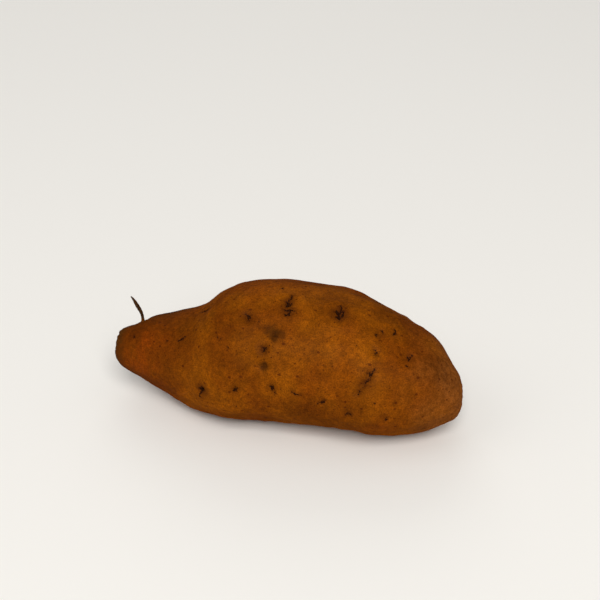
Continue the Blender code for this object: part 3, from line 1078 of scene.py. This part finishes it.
# The skin's material: a ground tone between amber and golden, multiplied by each pattern's tint,
# and then one tone after another laid over it by the mesh's values and the patterns.
def makeSkinMaterial(groups):
    look = skinLook
    material, tree, shader = startMaterial("sweetPotatoSkin", look["gloss"], look["glossRoughness"])
    place = placeInMm(tree)
    masks = {title: readValue(tree, title) for title in (*look["cover"], "stain", "stem", "tone")}
    stain, stem, tone = masks["stain"], masks["stem"], masks["tone"]

    def times(first, second):
        return calculate(tree, "MULTIPLY", first, second)

    # One of the soft patches, read on the place.
    def patches(title):
        names = ("Size", "Low", "High", "Shift", "Detail")
        inputs = {"Vector": place, **dict(zip(names, look["patches"][title]))}
        return useGroup(tree, groups["softPatches"], inputs)

    # Flecks, read in a space that may be squeezed along X.
    def spotted(title, squeeze=1.0):
        squeezed = reckonPlace(tree, "MULTIPLY", place, (squeeze, 1.0, 1.0))
        return useGroup(tree, groups["flecks"], {"Vector": squeezed, **look[title]})

    # How much of an area shows: its mask times its cover, which a pattern eases from least to most.
    def coverOf(title, pattern, low=0.0, high=1.0):
        return times(masks[title], ease(tree, pattern, low, high, *look["cover"][title]))

    patterns = {title: patches(title) for title in ("mottle", "blotch", "grain")}
    patterns["streaks"] = useGroup(tree, groups["lengthGrain"], {"Vector": place, **look["streaks"]})
    mottle, blotch = patterns["mottle"], patterns["blotch"]

    # The ground tone, warmer on the neck and pinker at the root end, shaded by every pattern. Its
    # tone value holds painted light and shade as well as the skin's own lighter and darker areas.
    ground = calculate(tree, "MULTIPLY_ADD", tone, look["toneSwing"], patches("broad"))
    colour = blend(tree, ground, look["amber"], look["golden"])
    colour = blend(tree, coverOf("neck", mottle), colour, look["neck"])
    colour = blend(tree, coverOf("ruddy", mottle), colour, look["ruddy"])
    colour = blend(tree, coverOf("tip", blotch), colour, look["rosy"])
    shade = calculate(tree, "ADD", tone, 1.0)
    for title, (darkest, lightest) in look["tints"].items():
        inputs = {"Value": patterns[title], "To Min": darkest, "To Max": lightest}
        shade = times(shade, addNode(tree, "ShaderNodeMapRange", inputs))
    grey = addNode(tree, "ShaderNodeCombineColor", {"Red": shade, "Green": shade, "Blue": shade})
    colour = blend(tree, 1.0, colour, grey, "MULTIPLY")

    # Flecks and pores, more of them close to a scar.
    fine, pores = spotted("fine"), spotted("pores", look["poreSqueeze"])
    clear, more = look["fineCover"]
    fineCover = calculate(tree, "MULTIPLY_ADD", masks["bruise"], more, clear)
    colour = blend(tree, times(fine, fineCover), colour, look["fleck"])
    colour = blend(tree, times(pores, look["poreCover"]), colour, look["fleck"])

    # Dirt with painted shade in the dents, bruises, the dull band with its painted shadow, and corky
    # patches.
    colour = blend(tree, coverOf("hollowDirtAndShade", blotch), colour, look["dirtAndShade"])
    colour = blend(tree, coverOf("bruise", blotch, *look["bruiseEnds"]), colour, look["dirtAndShade"])
    colour = blend(tree, coverOf("dullAndShadow", mottle), colour, look["dullAndShadow"])
    lumps = patches("lumps")
    scurfTone = blend(tree, lumps, look["scurf"], look["scurfLight"])
    colour = blend(tree, coverOf("scurf", blotch), colour, scurfTone)
    cracks = useGroup(tree, groups["cork"], {"Vector": place, **look["cracks"]}, "Cracks")
    stemTone = blend(tree, cracks.node.outputs["Tone"], look["cork"], look["dullAndShadow"])
    stemTone = blend(tree, times(cracks, look["crackCover"]), stemTone, look["smear"])
    colour = blend(tree, times(stem, look["stemCover"]), colour, stemTone)

    # A scar is a brown smear with black crumbs in it, which thin out away from its strokes.
    smeared = coverOf("smear", lumps)
    colour = blend(tree, smeared, colour, look["smear"])
    crumbs = calculate(tree, "SUBTRACT", patches("crumbs"), 0.5)
    ragged = calculate(tree, "MULTIPLY_ADD", crumbs, look["crumbled"], stain)
    black = times(ease(tree, ragged, *look["blackEnds"]), ease(tree, stain, *look["strokeEnds"]))
    colour = blend(tree, times(black, look["blackCover"]), colour, look["scar"])
    tree.links.new(colour, shader.inputs["Base Color"])

    # Scars and cork are matt. The bump adds up each pattern's height.
    matt = calculate(tree, "MAXIMUM", calculate(tree, "MAXIMUM", black, stem), masks["scurf"])
    rough = ease(tree, mottle, 0.0, 1.0, *look["roughness"])
    rough = calculate(tree, "MULTIPLY_ADD", matt, look["mattRoughness"], rough)
    tree.links.new(rough, shader.inputs["Roughness"])

    raised = {**patterns, "fine": fine, "pores": pores, "black": black, "smear": smeared}
    raised["cracks"] = times(cracks, calculate(tree, "MAXIMUM", stem, masks["scurf"]))
    height = 0.0
    for title, rise in look["heights"].items():
        height = calculate(tree, "MULTIPLY_ADD", raised[title], rise, height)
    bumpNormal(tree, shader, height)
    return material


# The dried parts: what all of them share, and then the tones of each. Patterns are read along and
# round each root, from its own place values.
driedGrain = {
    "grain": {"Size": 0.45, "Stretch": 7.0, "Detail": 4.0},
    "lumps": {"Size": 2.2, "Detail": 3.0},
    "brownEnds": (0.32, 0.68),       # the grain's low and high for the tone
    "roughEnds": (0.3, 0.7),         # and for the roughness
    "height": 0.16,                  # of the bump, in millimetres
}
rootLook = {
    "gloss": 0.05,
    "glossRoughness": 0.5,
    "base": (0.124, 0.0340, 0.0030, 1.0),
    "baseEnds": (2.2, 4.4),    # the skin's tone fades out here along a root, counted from inside
    "baseGrain": 0.7,
    "dark": (0.017, 0.0066, 0.0020, 1.0),
    "brown": (0.062, 0.0228, 0.0050, 1.0),
    "pale": (0.120, 0.0480, 0.0120, 1.0),
    "brownness": 0.80,
    "paleness": 0.10,
    "roughness": (0.58, 0.74),
}
fibreLook = {
    "gloss": 0.02,
    "glossRoughness": 0.5,
    "dark": (0.0108, 0.0033, 0.0021, 1.0),
    "brown": (0.041, 0.0105, 0.0022, 1.0),
    "pale": (0.055, 0.0190, 0.0040, 1.0),
    "brownness": 0.70,
    "paleness": 0.10,
    "roughness": (0.67, 0.83),
}
woodLook = {
    "gloss": 0.02,
    "glossRoughness": 0.5,
    "dark": (0.026, 0.0105, 0.0026, 1.0),
    "brown": (0.080, 0.0330, 0.0070, 1.0),
    "pale": (0.150, 0.0720, 0.0190, 1.0),
    "brownness": 1.0,
    "paleness": 0.55,
    "roughness": (0.66, 0.82),
}


# A dried part's material: dark to brown by its lengthwise grain, paler in soft lumps, and the
# skin's own tone at the base of a root that has one.
def makeRootMaterial(groups, title, look):
    material, tree, shader = startMaterial(title, look["gloss"], look["glossRoughness"])
    place = addNode(tree, "ShaderNodeAttribute", None, "Vector", attribute_name="rootPlace")
    grain = useGroup(tree, groups["lengthGrain"], {"Vector": place, **driedGrain["grain"]})
    lumps = useGroup(tree, groups["softPatches"], {"Vector": place, **driedGrain["lumps"]})
    brown = ease(tree, grain, *driedGrain["brownEnds"], 0.0, look["brownness"])
    colour = blend(tree, brown, look["dark"], look["brown"])
    colour = blend(tree, calculate(tree, "MULTIPLY", lumps, look["paleness"]), colour, look["pale"])
    if "base" in look:
        along = addNode(tree, "ShaderNodeSeparateXYZ", {"Vector": place}, "X")
        streaked = calculate(tree, "MULTIPLY", grain, look["baseGrain"])
        base = blend(tree, streaked, look["base"], look["brown"])
        colour = blend(tree, ease(tree, along, *look["baseEnds"], 1.0, 0.0), colour, base)
    tree.links.new(colour, shader.inputs["Base Color"])
    rough = ease(tree, grain, *driedGrain["roughEnds"], *look["roughness"])
    tree.links.new(rough, shader.inputs["Roughness"])
    bumpNormal(tree, shader, calculate(tree, "MULTIPLY", grain, driedGrain["height"]))
    return material


# The skin: a closed grid of rings. Columns are moved towards the finest angle, so that the side
# that shows most has the closest mesh.
def makeSkin(material):
    rings, sides = body["rings"], body["sides"]
    turn = np.linspace(0.0, 2.0 * math.pi, sides, endpoint=False)
    turn -= body["closeness"] * np.sin(turn - math.radians(body["finestAngle"]))
    part = (np.arange(rings) + 1.0) / (rings + 1.0)
    along = np.concatenate([np.repeat(part, sides), [0.0, 1.0]])
    angle = np.concatenate([np.tile(turn, rings), [0.0, 0.0]])
    plain = plainPoints(along, angle)
    points = skinPoints(along, angle)[0]
    stain, smear, bruise = scarMasks(plain)
    sunk = -(eyeHeight(plain) + furrowHeight(along, angle) + splitHeight(plain))
    values = {
        "stain": stain,
        "smear": smear,
        "bruise": bruise,
        "scurf": scurfMask(plain),
        "stem": stemMask(plain, angle),
        # the neck's dull top band, partly painted shadow, and its dull collar
        "dullAndShadow": dullAndShadowMask(plain, angle),
        # tone: the skin's own lighter and darker areas, with painted light and shade
        "tone": areaSum(plain, tonesWithPaintedLight),
        "ruddy": areaSum(plain, ruddy),
        "neck": endMask(plain, "neck"),
        "tip": endMask(plain, "tip"),
        # dirt with painted shade in the dents, darker the deeper they are
        "hollowDirtAndShade": np.clip(sunk, 0.0, 1.0),
    }
    quads, triangles = closedGridFaces(rings, sides)
    return makeObject("tuberSkin", points, quads, triangles, material, values)


# The rootlets, as on the solid: place along X, angle, length, and lean along the body and round
# it. The first is the long curved one on the neck. A tube is given by its steps, its sides, its
# ridges and how deep they are, and an end by its share of the thickness.
rootlets = {
    "long": (-77, -8, 12.5, -0.55, 0.1),
    "longThickness": 1.42,
    "longEnd": 0.36,
    "longFade": 7.0,
    "longBelly": 0.42,
    "longWaver": 0.12,
    "longTube": (44, 18, 5, 0.07),
    "stubs": (
        (3, 18, 1.5, 0.6, 0.8),
        (28, 17, 1.5, -0.5, 0.8),
        (-35, 95, 1.4, 0.7, 0.6),
        (-17, 92, 1.2, -0.7, 0.4),
        (1, 88, 1.2, 0.4, -0.7),
        (20, 232, 2.0, 0.6, 0.6),
        (-30, 262, 2.2, -0.6, 0.5),
        (35, 294, 1.8, 0.7, -0.5),
    ),
    "stubThickness": 1.15,
    "stubEnd": 0.55,
    "stubWaver": 0.12,
    "stubTube": (16, 14, 5, 0.16),
    "tail": (87, 238, 3.0, 0.3, 0.1),
    "tailThickness": 4.0,
    "tailEnd": 0.30,
    "tailWaver": 0.15,
    "tailTube": (18, 30, 9, 0.10),
    "bellyPlace": 0.70,              # share of the length
    "bellyWidth": 0.24,
    "flare": 0.55,
    "flareLength": 0.55,             # in thicknesses
    "joints": (0.05, 5.2),           # height, and radians for each thickness of length
    "waves": (1.2, 2.4),             # how often a path wavers
    "phases": 6.28,
    "jointPhases": 6,
    "sunk": 1.8,
    "seed": 61,
}

# Thin hairs round the tail's end.
hairs = {
    "count": 6,
    "steps": 9,
    "sides": 7,
    "length": (2.0, 4.6),
    "radius": (0.10, 0.22),
    "taper": 0.7,
    "lean": ((-0.3, 0.9), (-0.8, 0.8), (-0.6, 0.6)),     # along X, Y and Z
    "straight": 0.8,                 # how far they follow the tail, and lean at once and in the end
    "leanFirst": 0.5,
    "leanLast": 0.12,
}
hairReference = np.array([0.1, 0.35, 1.0])
stubReference = np.array([1.0, 0.2, 0.1])
longReference = np.array([0.0, 1.0, 0.0])

# What all tubes share. The shifts keep the patterns of neighbouring tubes and sets apart.
tubeForm = {"capRise": 0.35, "ridgeSway": 1.3, "tubeShift": 37.0, "setShift": 11.0}


# Tubes carried along paths, all with the same number of steps. A path has shape (tubes, steps, 3)
# and the radii (tubes, steps). Round each point of a path lies a ring at right angles to it, and
# the ridges are waves round the ring. The ends close on a pole. Each point also keeps its place on
# its tube, along it and round it, which the patterns read. Flat tubes are low along the reference.
def tubes(paths, radii, sides, reference, ridges=5, ridgeDepth=0.0, number=0, flat=1.0):
    tangent = np.gradient(paths, axis=1)
    tangent /= np.linalg.norm(tangent, axis=2, keepdims=True)
    aside = np.cross(tangent, reference)
    aside /= np.linalg.norm(aside, axis=2, keepdims=True)
    above = flat * np.cross(aside, tangent)
    turn = np.linspace(0.0, 2.0 * math.pi, sides, endpoint=False)
    swell = 1.0 + ridgeDepth * np.sin(ridges * turn + tubeForm["ridgeSway"] * np.sin(2.0 * turn))
    spokes = np.cos(turn)[:, None] * aside[:, :, None] + np.sin(turn)[:, None] * above[:, :, None]
    rings = paths[:, :, None] + (radii[:, :, None] * swell)[..., None] * spokes
    start = paths[:, 0] - tubeForm["capRise"] * radii[:, :1] * tangent[:, 0]
    end = paths[:, -1] + tubeForm["capRise"] * radii[:, -1:] * tangent[:, -1]
    count, steps = paths.shape[:2]
    points = np.concatenate([rings.reshape(count, -1, 3), start[:, None], end[:, None]], axis=1)
    quads, triangles = closedGridFaces(steps, sides)
    offsets = (np.arange(count) * points.shape[1])[:, None, None]
    gaps = np.linalg.norm(np.diff(paths, axis=1, prepend=paths[:, :1]), axis=2)
    length = np.cumsum(gaps, axis=1) + tubeForm["tubeShift"] * np.arange(count)[:, None]
    girth = radii.mean(axis=1)[:, None, None]
    across, round = girth * np.cos(turn), girth * np.sin(turn) + tubeForm["setShift"] * number
    place = np.stack(np.broadcast_arrays(length[:, :, None], across, round), axis=-1)
    place = place.reshape(count, -1, 3)
    place = np.concatenate([place, place[:, :1], place[:, -1:]], axis=1)
    return (
        points.reshape(-1, 3),
        (quads + offsets).reshape(-1, 4),
        (triangles + offsets).reshape(-1, 3),
        place.reshape(-1, 3),
    )


# Joins several sets of tubes into one object: each set's corners are counted on from the last's.
def joinTubes(name, sets, material):
    points, quads, triangles, places = zip(*sets)
    firsts = np.cumsum([0] + [len(tubePoints) for tubePoints in points[:-1]])
    quads = np.vstack([tubeQuads + first for tubeQuads, first in zip(quads, firsts)])
    triangles = np.vstack([tubeTriangles + first for tubeTriangles, first in zip(triangles, firsts)])
    values = {"rootPlace": np.vstack(places)}
    return makeObject(name, np.vstack(points), quads, triangles, material, values)


# The path of a rootlet: it leaves the skin straight, leans over as the square of its rise, and
# wavers a little.
def rootletPath(rootlet, steps, waver, draw):
    x, degrees, length, leanAlong, leanRound = rootlet
    along, angle = spotsOf(x, degrees)
    foot = formPoints(along, angle)[0]
    out = outwardOf(angle)[0]
    ahead = np.array([1.0, 0.0, 0.0])
    side = leanAlong * ahead + leanRound * np.cross(out, ahead)
    part = np.linspace(0.0, 1.0, steps)[:, None]
    rise = part * (length + rootlets["sunk"]) - rootlets["sunk"]
    lean = length * np.maximum(rise / length, 0.0) ** 2
    waves = np.zeros((steps, 3))
    for axis in range(3):
        phase, turns = draw.uniform(0, rootlets["phases"]), draw.uniform(*rootlets["waves"])
        waves[:, axis] = waver * np.sin(2.0 * math.pi * turns * part[:, 0] + phase) * part[:, 0]
    return foot + out * rise + side * lean + waves, np.maximum(rise[:, 0], 0.0)


# A rootlet's radius: it tapers to the tip as a power of the length, is thickest round its belly,
# flares where it leaves the skin and swells at joints.
def rootletRadii(thickness, endShare, rise, draw, fade=2.0, belly=0.0):
    part = np.linspace(0.0, 1.0, len(rise))
    fat = belly * bump(part - rootlets["bellyPlace"], rootlets["bellyWidth"])
    flare = rootlets["flare"] * np.exp(-rise / (rootlets["flareLength"] * thickness))
    height, turns = rootlets["joints"]
    joint = height * np.sin(turns * rise / thickness + draw.uniform(0, rootlets["jointPhases"]))
    taper = 1.0 + (endShare - 1.0) * part ** fade
    return thickness / 2.0 * (1.0 + fat) * taper * (1.0 + flare) * (1.0 + joint)


# Thin hairs that leave the outer half of the tail and bend away as the square of their length.
def tailHairs(tail, draw):
    part = np.linspace(0.0, 1.0, hairs["steps"])
    out = (tail[-1] - tail[0]) / np.linalg.norm(tail[-1] - tail[0])
    paths, radii = [], []
    for number in range(hairs["count"]):
        start = tail[draw.randrange(len(tail) // 2, len(tail))]
        reach = draw.uniform(*hairs["length"]) * part[:, None]
        lean = np.array([draw.uniform(*limits) for limits in hairs["lean"]])
        first = hairs["straight"] * out + hairs["leanFirst"] * lean
        paths.append(start + first * reach + hairs["leanLast"] * lean * reach ** 2)
        radii.append(draw.uniform(*hairs["radius"]) * (1.0 - hairs["taper"] * part))
    return tubes(np.array(paths), np.array(radii), hairs["sides"], hairReference, number=30)


# One rootlet: its path with its radii round it. The number keeps its pattern apart.
def rootletTube(title, rootlet, reference, draw, number, fade=2.0, belly=0.0):
    steps, sides, ridges, depth = rootlets[title + "Tube"]
    path, rise = rootletPath(rootlet, steps, rootlets[title + "Waver"], draw)
    thickness, endShare = rootlets[title + "Thickness"], rootlets[title + "End"]
    radii = rootletRadii(thickness, endShare, rise, draw, fade, belly)
    return path, tubes(path[None], radii[None], sides, reference, ridges, depth, number)


# The long rootlet on the neck, and the thick tail at the root end with its hairs.
def makeRootlets(material):
    draw = random.Random(rootlets["seed"])
    shape = (rootlets["longFade"], rootlets["longBelly"])
    long = rootletTube("long", rootlets["long"], longReference, draw, 0, *shape)[1]
    path, tail = rootletTube("tail", rootlets["tail"], stubReference, draw, 20)
    return joinTubes("driedRootlets", [long, tail, tailHairs(path, draw)], material)


# The stubs of broken roots, which stand in the larger scars.
def makeRootStubs(material):
    draw = random.Random(rootlets["seed"] + 1)
    sets = [
        rootletTube("stub", stub, stubReference, draw, number + 1)[1]
        for number, stub in enumerate(rootlets["stubs"])
    ]
    return joinTubes("rootStubs", sets, material)


# Dark fibres in the scars. A kind gives how many lie on each stroke, how much of the stroke one
# follows, how far beside it, how high it arches, its radius, how ragged and how flat it is.
fibres = {
    "bareKinds": ("smudge", "dot", "parted", "riftEnd"),
    "coreFrom": 0.65,               # scars that aren't darker than this have no core
    "steps": 11,
    "sunk": 0.10,
    "kinds": {
        "core": {
            "count": 1, "share": (0.85, 1.0), "aside": 0.08, "lift": (0.02, 0.12),
            "radius": (0.24, 0.36), "ragged": 0.40, "flat": 0.45, "sides": 8,
        },
        "strand": {
            "count": 2, "share": (0.30, 0.80), "aside": 0.40, "lift": (0.00, 0.20),
            "radius": (0.06, 0.15), "ragged": 0.25, "flat": 0.9, "sides": 6,
        },
        "whisker": {
            "count": 2, "share": (0.25, 0.60), "aside": 0.20, "lift": (0.00, 0.16),
            "radius": (0.04, 0.08), "ragged": 0.10, "flat": 1.0, "sides": 5,
        },
    },
    "whiskerTurn": (25, 155),       # whiskers cross their stroke at such angles
    "whiskerLength": (0.7, 1.6),
    "shortest": 0.01,               # no route counts as shorter when its direction is taken
    "bow": 0.5,                     # how far a fibre bows, as a share of how far it lies aside
    "bowTo": (0.6, 0.8),
    "waves": ((9.0, 1.0), (20.0, 0.7)),     # radians along a fibre, and height
    "phases": 6,
    "endGirth": 0.25,
    "archPower": 0.6,
    "seed": 71,
}


# The flat route of a fibre: along a part of its stroke, or for a whisker a straight line across
# it, moved aside and bowed by half a wave.
def fibreRoute(kind, stroke, part, draw):
    settings = fibres["kinds"][kind]
    led = np.vstack([2 * stroke[0] - stroke[1], stroke, 2 * stroke[-1] - stroke[-2]])
    share = draw.uniform(*settings["share"])
    start = draw.uniform(0.0, 1.0 - share)
    route = cubicThrough(led, 2, start + share * part)
    if kind == "whisker":
        turn = math.radians(draw.uniform(*fibres["whiskerTurn"]))
        line = route[-1] - route[0]
        line /= max(np.linalg.norm(line), fibres["shortest"])
        line *= draw.uniform(*fibres["whiskerLength"])
        c, s = math.cos(turn), math.sin(turn)
        route = route[len(part) // 2] + (part[:, None] - 0.5) * (line @ np.array([[c, s], [-s, c]]))
    aside = settings["aside"] * np.array([draw.uniform(-1, 1), draw.uniform(-1, 1)])
    bow = fibres["bow"] * settings["aside"] * draw.uniform(-1, 1) * np.sin(math.pi * part)
    return route + aside + np.outer(bow, fibres["bowTo"])


# The radii of a fibre: thin at both ends, thick and thin between them by two waves.
def fibreRadii(kind, part, darkness, draw):
    settings = fibres["kinds"][kind]
    waves = sum(
        height * np.sin(turns * part + draw.uniform(0, fibres["phases"]))
        for turns, height in fibres["waves"]
    )
    girth = draw.uniform(*settings["radius"]) * min(darkness, 1.0)
    arch = np.sin(math.pi * part) ** fibres["archPower"]
    swell = fibres["endGirth"] + (1.0 - fibres["endGirth"]) * arch
    return girth * swell * (1.0 + settings["ragged"] * waves)


# Fibres are laid on the skin at the places of their flat routes, and lifted along its normals
# by a low arch whose ends are sunk. None goes below the ground.
def makeScarFibres(material):
    draw = random.Random(fibres["seed"])
    part = np.linspace(0.0, 1.0, fibres["steps"])
    arch = np.sin(math.pi * part)
    names, places, turns, lifts, radii = [], [], [], [], []
    for scar in allScars():
        x, degrees, kindOfScar, darkness = scar[0], scar[1], scar[2], scar[5]
        if kindOfScar in fibres["bareKinds"]:
            continue
        around = throughStations(spotsOf(x, 0)[0])[0, 1:3].mean()
        for stroke in strokesOf(scar):
            for kind, settings in fibres["kinds"].items():
                if kind == "core" and darkness < fibres["coreFrom"]:
                    continue
                for number in range(settings["count"]):
                    route = fibreRoute(kind, stroke, part, draw)
                    names.append(kind)
                    places.append(x + route[:, 0])
                    turns.append(degrees + np.degrees(route[:, 1] / around))
                    lift = draw.uniform(*settings["lift"]) * arch ** fibres["archPower"]
                    lifts.append(lift - fibres["sunk"] * (1.0 - arch))
                    radii.append(fibreRadii(kind, part, darkness, draw))
    names, radii = np.array(names), np.array(radii)
    points, normals = skinPoints(*spotsOf(np.ravel(places), np.ravel(turns)))
    shape = (*radii.shape, 3)
    normals = normals.reshape(shape)
    paths = points.reshape(shape) + normals * np.array(lifts)[..., None]
    paths[..., 2] = np.maximum(paths[..., 2], max(fibres["kinds"]["core"]["radius"]))
    sets = []
    for kind, settings in fibres["kinds"].items():
        mine = names == kind
        shaped = (paths[mine], radii[mine], settings["sides"], normals[mine])
        sets.append(tubes(*shaped, flat=settings["flat"]))
    return joinTubes("scarFibres", sets, material)


# Broken wood in the dish of the stem face: short strands that stand out of it, in loose rings.
stemWood = {
    "rings": ((1.5, 7), (3.0, 12), (4.6, 14)),   # radius of a ring and how many strands
    "turnShift": (-0.3, 0.3),        # of the gap between two strands
    "awayShift": (-0.5, 0.5),
    "length": (0.2, 1.1),
    "lengthShare": (1.15, 0.1),      # at the middle, and what it loses for each mm from it
    "spread": (-0.1, 0.35),          # how far a tip leans out and aside, for each mm of length
    "sway": (-0.3, 0.3),
    "radius": (0.20, 0.46),
    "taper": 0.55,
    "sunk": 1.2,
    "steps": 9,
    "sides": 8,
    "seed": 83,
}


# Each strand rises out of the dish, leans out and aside as the square of its length and thins out
# as the cube.
def makeStemWood(material):
    draw = random.Random(stemWood["seed"])
    part = np.linspace(0.0, 1.0, stemWood["steps"])
    longest, loss = stemWood["lengthShare"]
    paths, radii = [], []
    for ringRadius, count in stemWood["rings"]:
        for number in range(count):
            turn = 2.0 * math.pi * (number + draw.uniform(*stemWood["turnShift"])) / count
            away = ringRadius + draw.uniform(*stemWood["awayShift"])
            out = np.array([0.0, math.sin(turn), math.cos(turn)])
            aside = np.array([0.0, math.cos(turn), -math.sin(turn)])
            foot = stemMiddle + away * out
            foot[0] += stemFace["dish"] * bump(away, stemFace["dishWidth"])
            length = draw.uniform(*stemWood["length"]) * (longest - loss * away)
            spread, sway = draw.uniform(*stemWood["spread"]), draw.uniform(*stemWood["sway"])
            path = foot + np.outer(length * part ** 2, spread * out + sway * aside)
            path[:, 0] += stemWood["sunk"] - part * (length + stemWood["sunk"])
            paths.append(path)
            radii.append(draw.uniform(*stemWood["radius"]) * (1.0 - stemWood["taper"] * part ** 3))
    strands = tubes(np.array(paths), np.array(radii), stemWood["sides"], hairReference)
    return joinTubes("stemWood", [strands], material)


# A pale floor, a soft key light from above and in front, two weak fills, and a pale surround.
studio = {
    "floorRadius": 6.0,              # metres
    "floorSides": 96,
    "floorDrop": 0.0003,             # metres
    "floorColour": (0.89, 0.887, 0.875, 1.0),
    "floorRoughness": 0.9,
    "surround": (1.0, 0.985, 0.955, 1.0),
    "surroundLight": 0.32,
    "surroundSeen": 0.95,
    "lights": (                      # name, azimuth, elevation, metres away, metres wide, watts, colour
        ("key", 18, 46, 2.80, 1.60, 64.0, (1.0, 0.97, 0.92)),
        ("fill", -60, 40, 2.60, 1.60, 7.0, (1.0, 0.97, 0.93)),
        ("back", 196, 30, 2.60, 1.80, 13.0, (1.0, 0.97, 0.92)),
    ),
}


# The direction towards a place at an azimuth, counted from the front, and an elevation.
def directionOf(azimuth, elevation):
    a, e = math.radians(azimuth), math.radians(elevation)
    return Vector((math.sin(a) * math.cos(e), -math.cos(a) * math.cos(e), math.sin(e)))


# Stands a lamp or camera at a distance from a point, looking at it.
def lookAt(thing, target, azimuth, elevation, distance):
    direction = directionOf(azimuth, elevation)
    turn = direction.to_track_quat("Z", "Y").to_matrix().to_4x4()
    thing.matrix_world = Matrix.Translation(Vector(target) + direction * distance) @ turn


# The floor is one round face, and the surround is dimmer for the light than for the camera.
def makeStudio():
    radius, sides = studio["floorRadius"], studio["floorSides"]
    turn = np.linspace(0.0, 2.0 * math.pi, sides, endpoint=False)
    low = np.full(sides, -studio["floorDrop"])
    rim = np.stack([radius * np.cos(turn), radius * np.sin(turn), low], axis=1)
    mesh = bpy.data.meshes.new("floor")
    mesh.from_pydata(rim.tolist(), [], [list(range(sides))])
    floor = bpy.data.objects.new("floor", mesh)
    bpy.context.scene.collection.objects.link(floor)
    material, tree, shader = startMaterial("paleFloor", gloss=0.0, glossRoughness=0.5)
    shader.inputs["Base Color"].default_value = studio["floorColour"]
    shader.inputs["Roughness"].default_value = studio["floorRoughness"]
    mesh.materials.append(material)
    middle = (Vector(solidBox[0]) + Vector(solidBox[1])) / 2.0
    for name, azimuth, elevation, away, wide, watts, colour in studio["lights"]:
        light = bpy.data.lights.new(name, "AREA")
        light.size, light.energy, light.color = wide, watts, colour
        lamp = bpy.data.objects.new(name, light)
        bpy.context.scene.collection.objects.link(lamp)
        lookAt(lamp, middle, azimuth, elevation, away)
    world = bpy.data.worlds.new("surround")
    world.use_nodes = True
    background = world.node_tree.nodes["Background"]
    background.inputs["Color"].default_value = studio["surround"]
    seen = addNode(world.node_tree, "ShaderNodeLightPath", None, "Is Camera Ray")
    inputs = {"Value": seen, "To Min": studio["surroundLight"], "To Max": studio["surroundSeen"]}
    strength = addNode(world.node_tree, "ShaderNodeMapRange", inputs)
    world.node_tree.links.new(strength, background.inputs["Strength"])
    bpy.context.scene.world = world
    bpy.context.scene.view_settings.view_transform = "Standard"


# The camera, in metres from the point that it aims at, and its lens and sensor in millimetres.
view = {
    "aim": (0.007, -0.0015, 0.0659),
    "azimuth": 12,
    "elevation": 30,
    "distance": 0.66,
    "nearest": 0.01,
    "lens": 80,
    "sensor": 36.0,
}


# The camera looks at its aim from its azimuth and elevation.
def makeCamera():
    camera = bpy.data.objects.new("camera", bpy.data.cameras.new("camera"))
    camera.data.lens = view["lens"]
    camera.data.sensor_width = view["sensor"]
    camera.data.clip_start = view["nearest"]
    bpy.context.scene.collection.objects.link(camera)
    lookAt(camera, view["aim"], view["azimuth"], view["elevation"], view["distance"])
    bpy.context.scene.camera = camera


shift = shiftToSolid()
print("the form moves by", shift.round(3), "mm to match the solid")
makeCamera()
makeStudio()
print("camera, floor and lights are in place")

nodeGroups = {
    "softPatches": softPatchesGroup(),
    "lengthGrain": lengthGrainGroup(),
    "flecks": flecksGroup(),
    "cork": corkGroup(),
}
skinMaterial = makeSkinMaterial(nodeGroups)
rootMaterial = makeRootMaterial(nodeGroups, "driedRoot", rootLook)
fibreMaterial = makeRootMaterial(nodeGroups, "scarFibre", fibreLook)
woodMaterial = makeRootMaterial(nodeGroups, "stemWood", woodLook)
print("materials are made")

skin = makeSkin(skinMaterial)
print("skin:", len(skin.data.polygons), "faces")
pieces = [
    skin,
    makeRootlets(rootMaterial),
    makeRootStubs(fibreMaterial),
    makeScarFibres(fibreMaterial),
    makeStemWood(woodMaterial),
]
for piece in pieces:
    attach(piece, "root")
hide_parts("tuber")
print("pieces:", ", ".join(piece.name for piece in pieces))
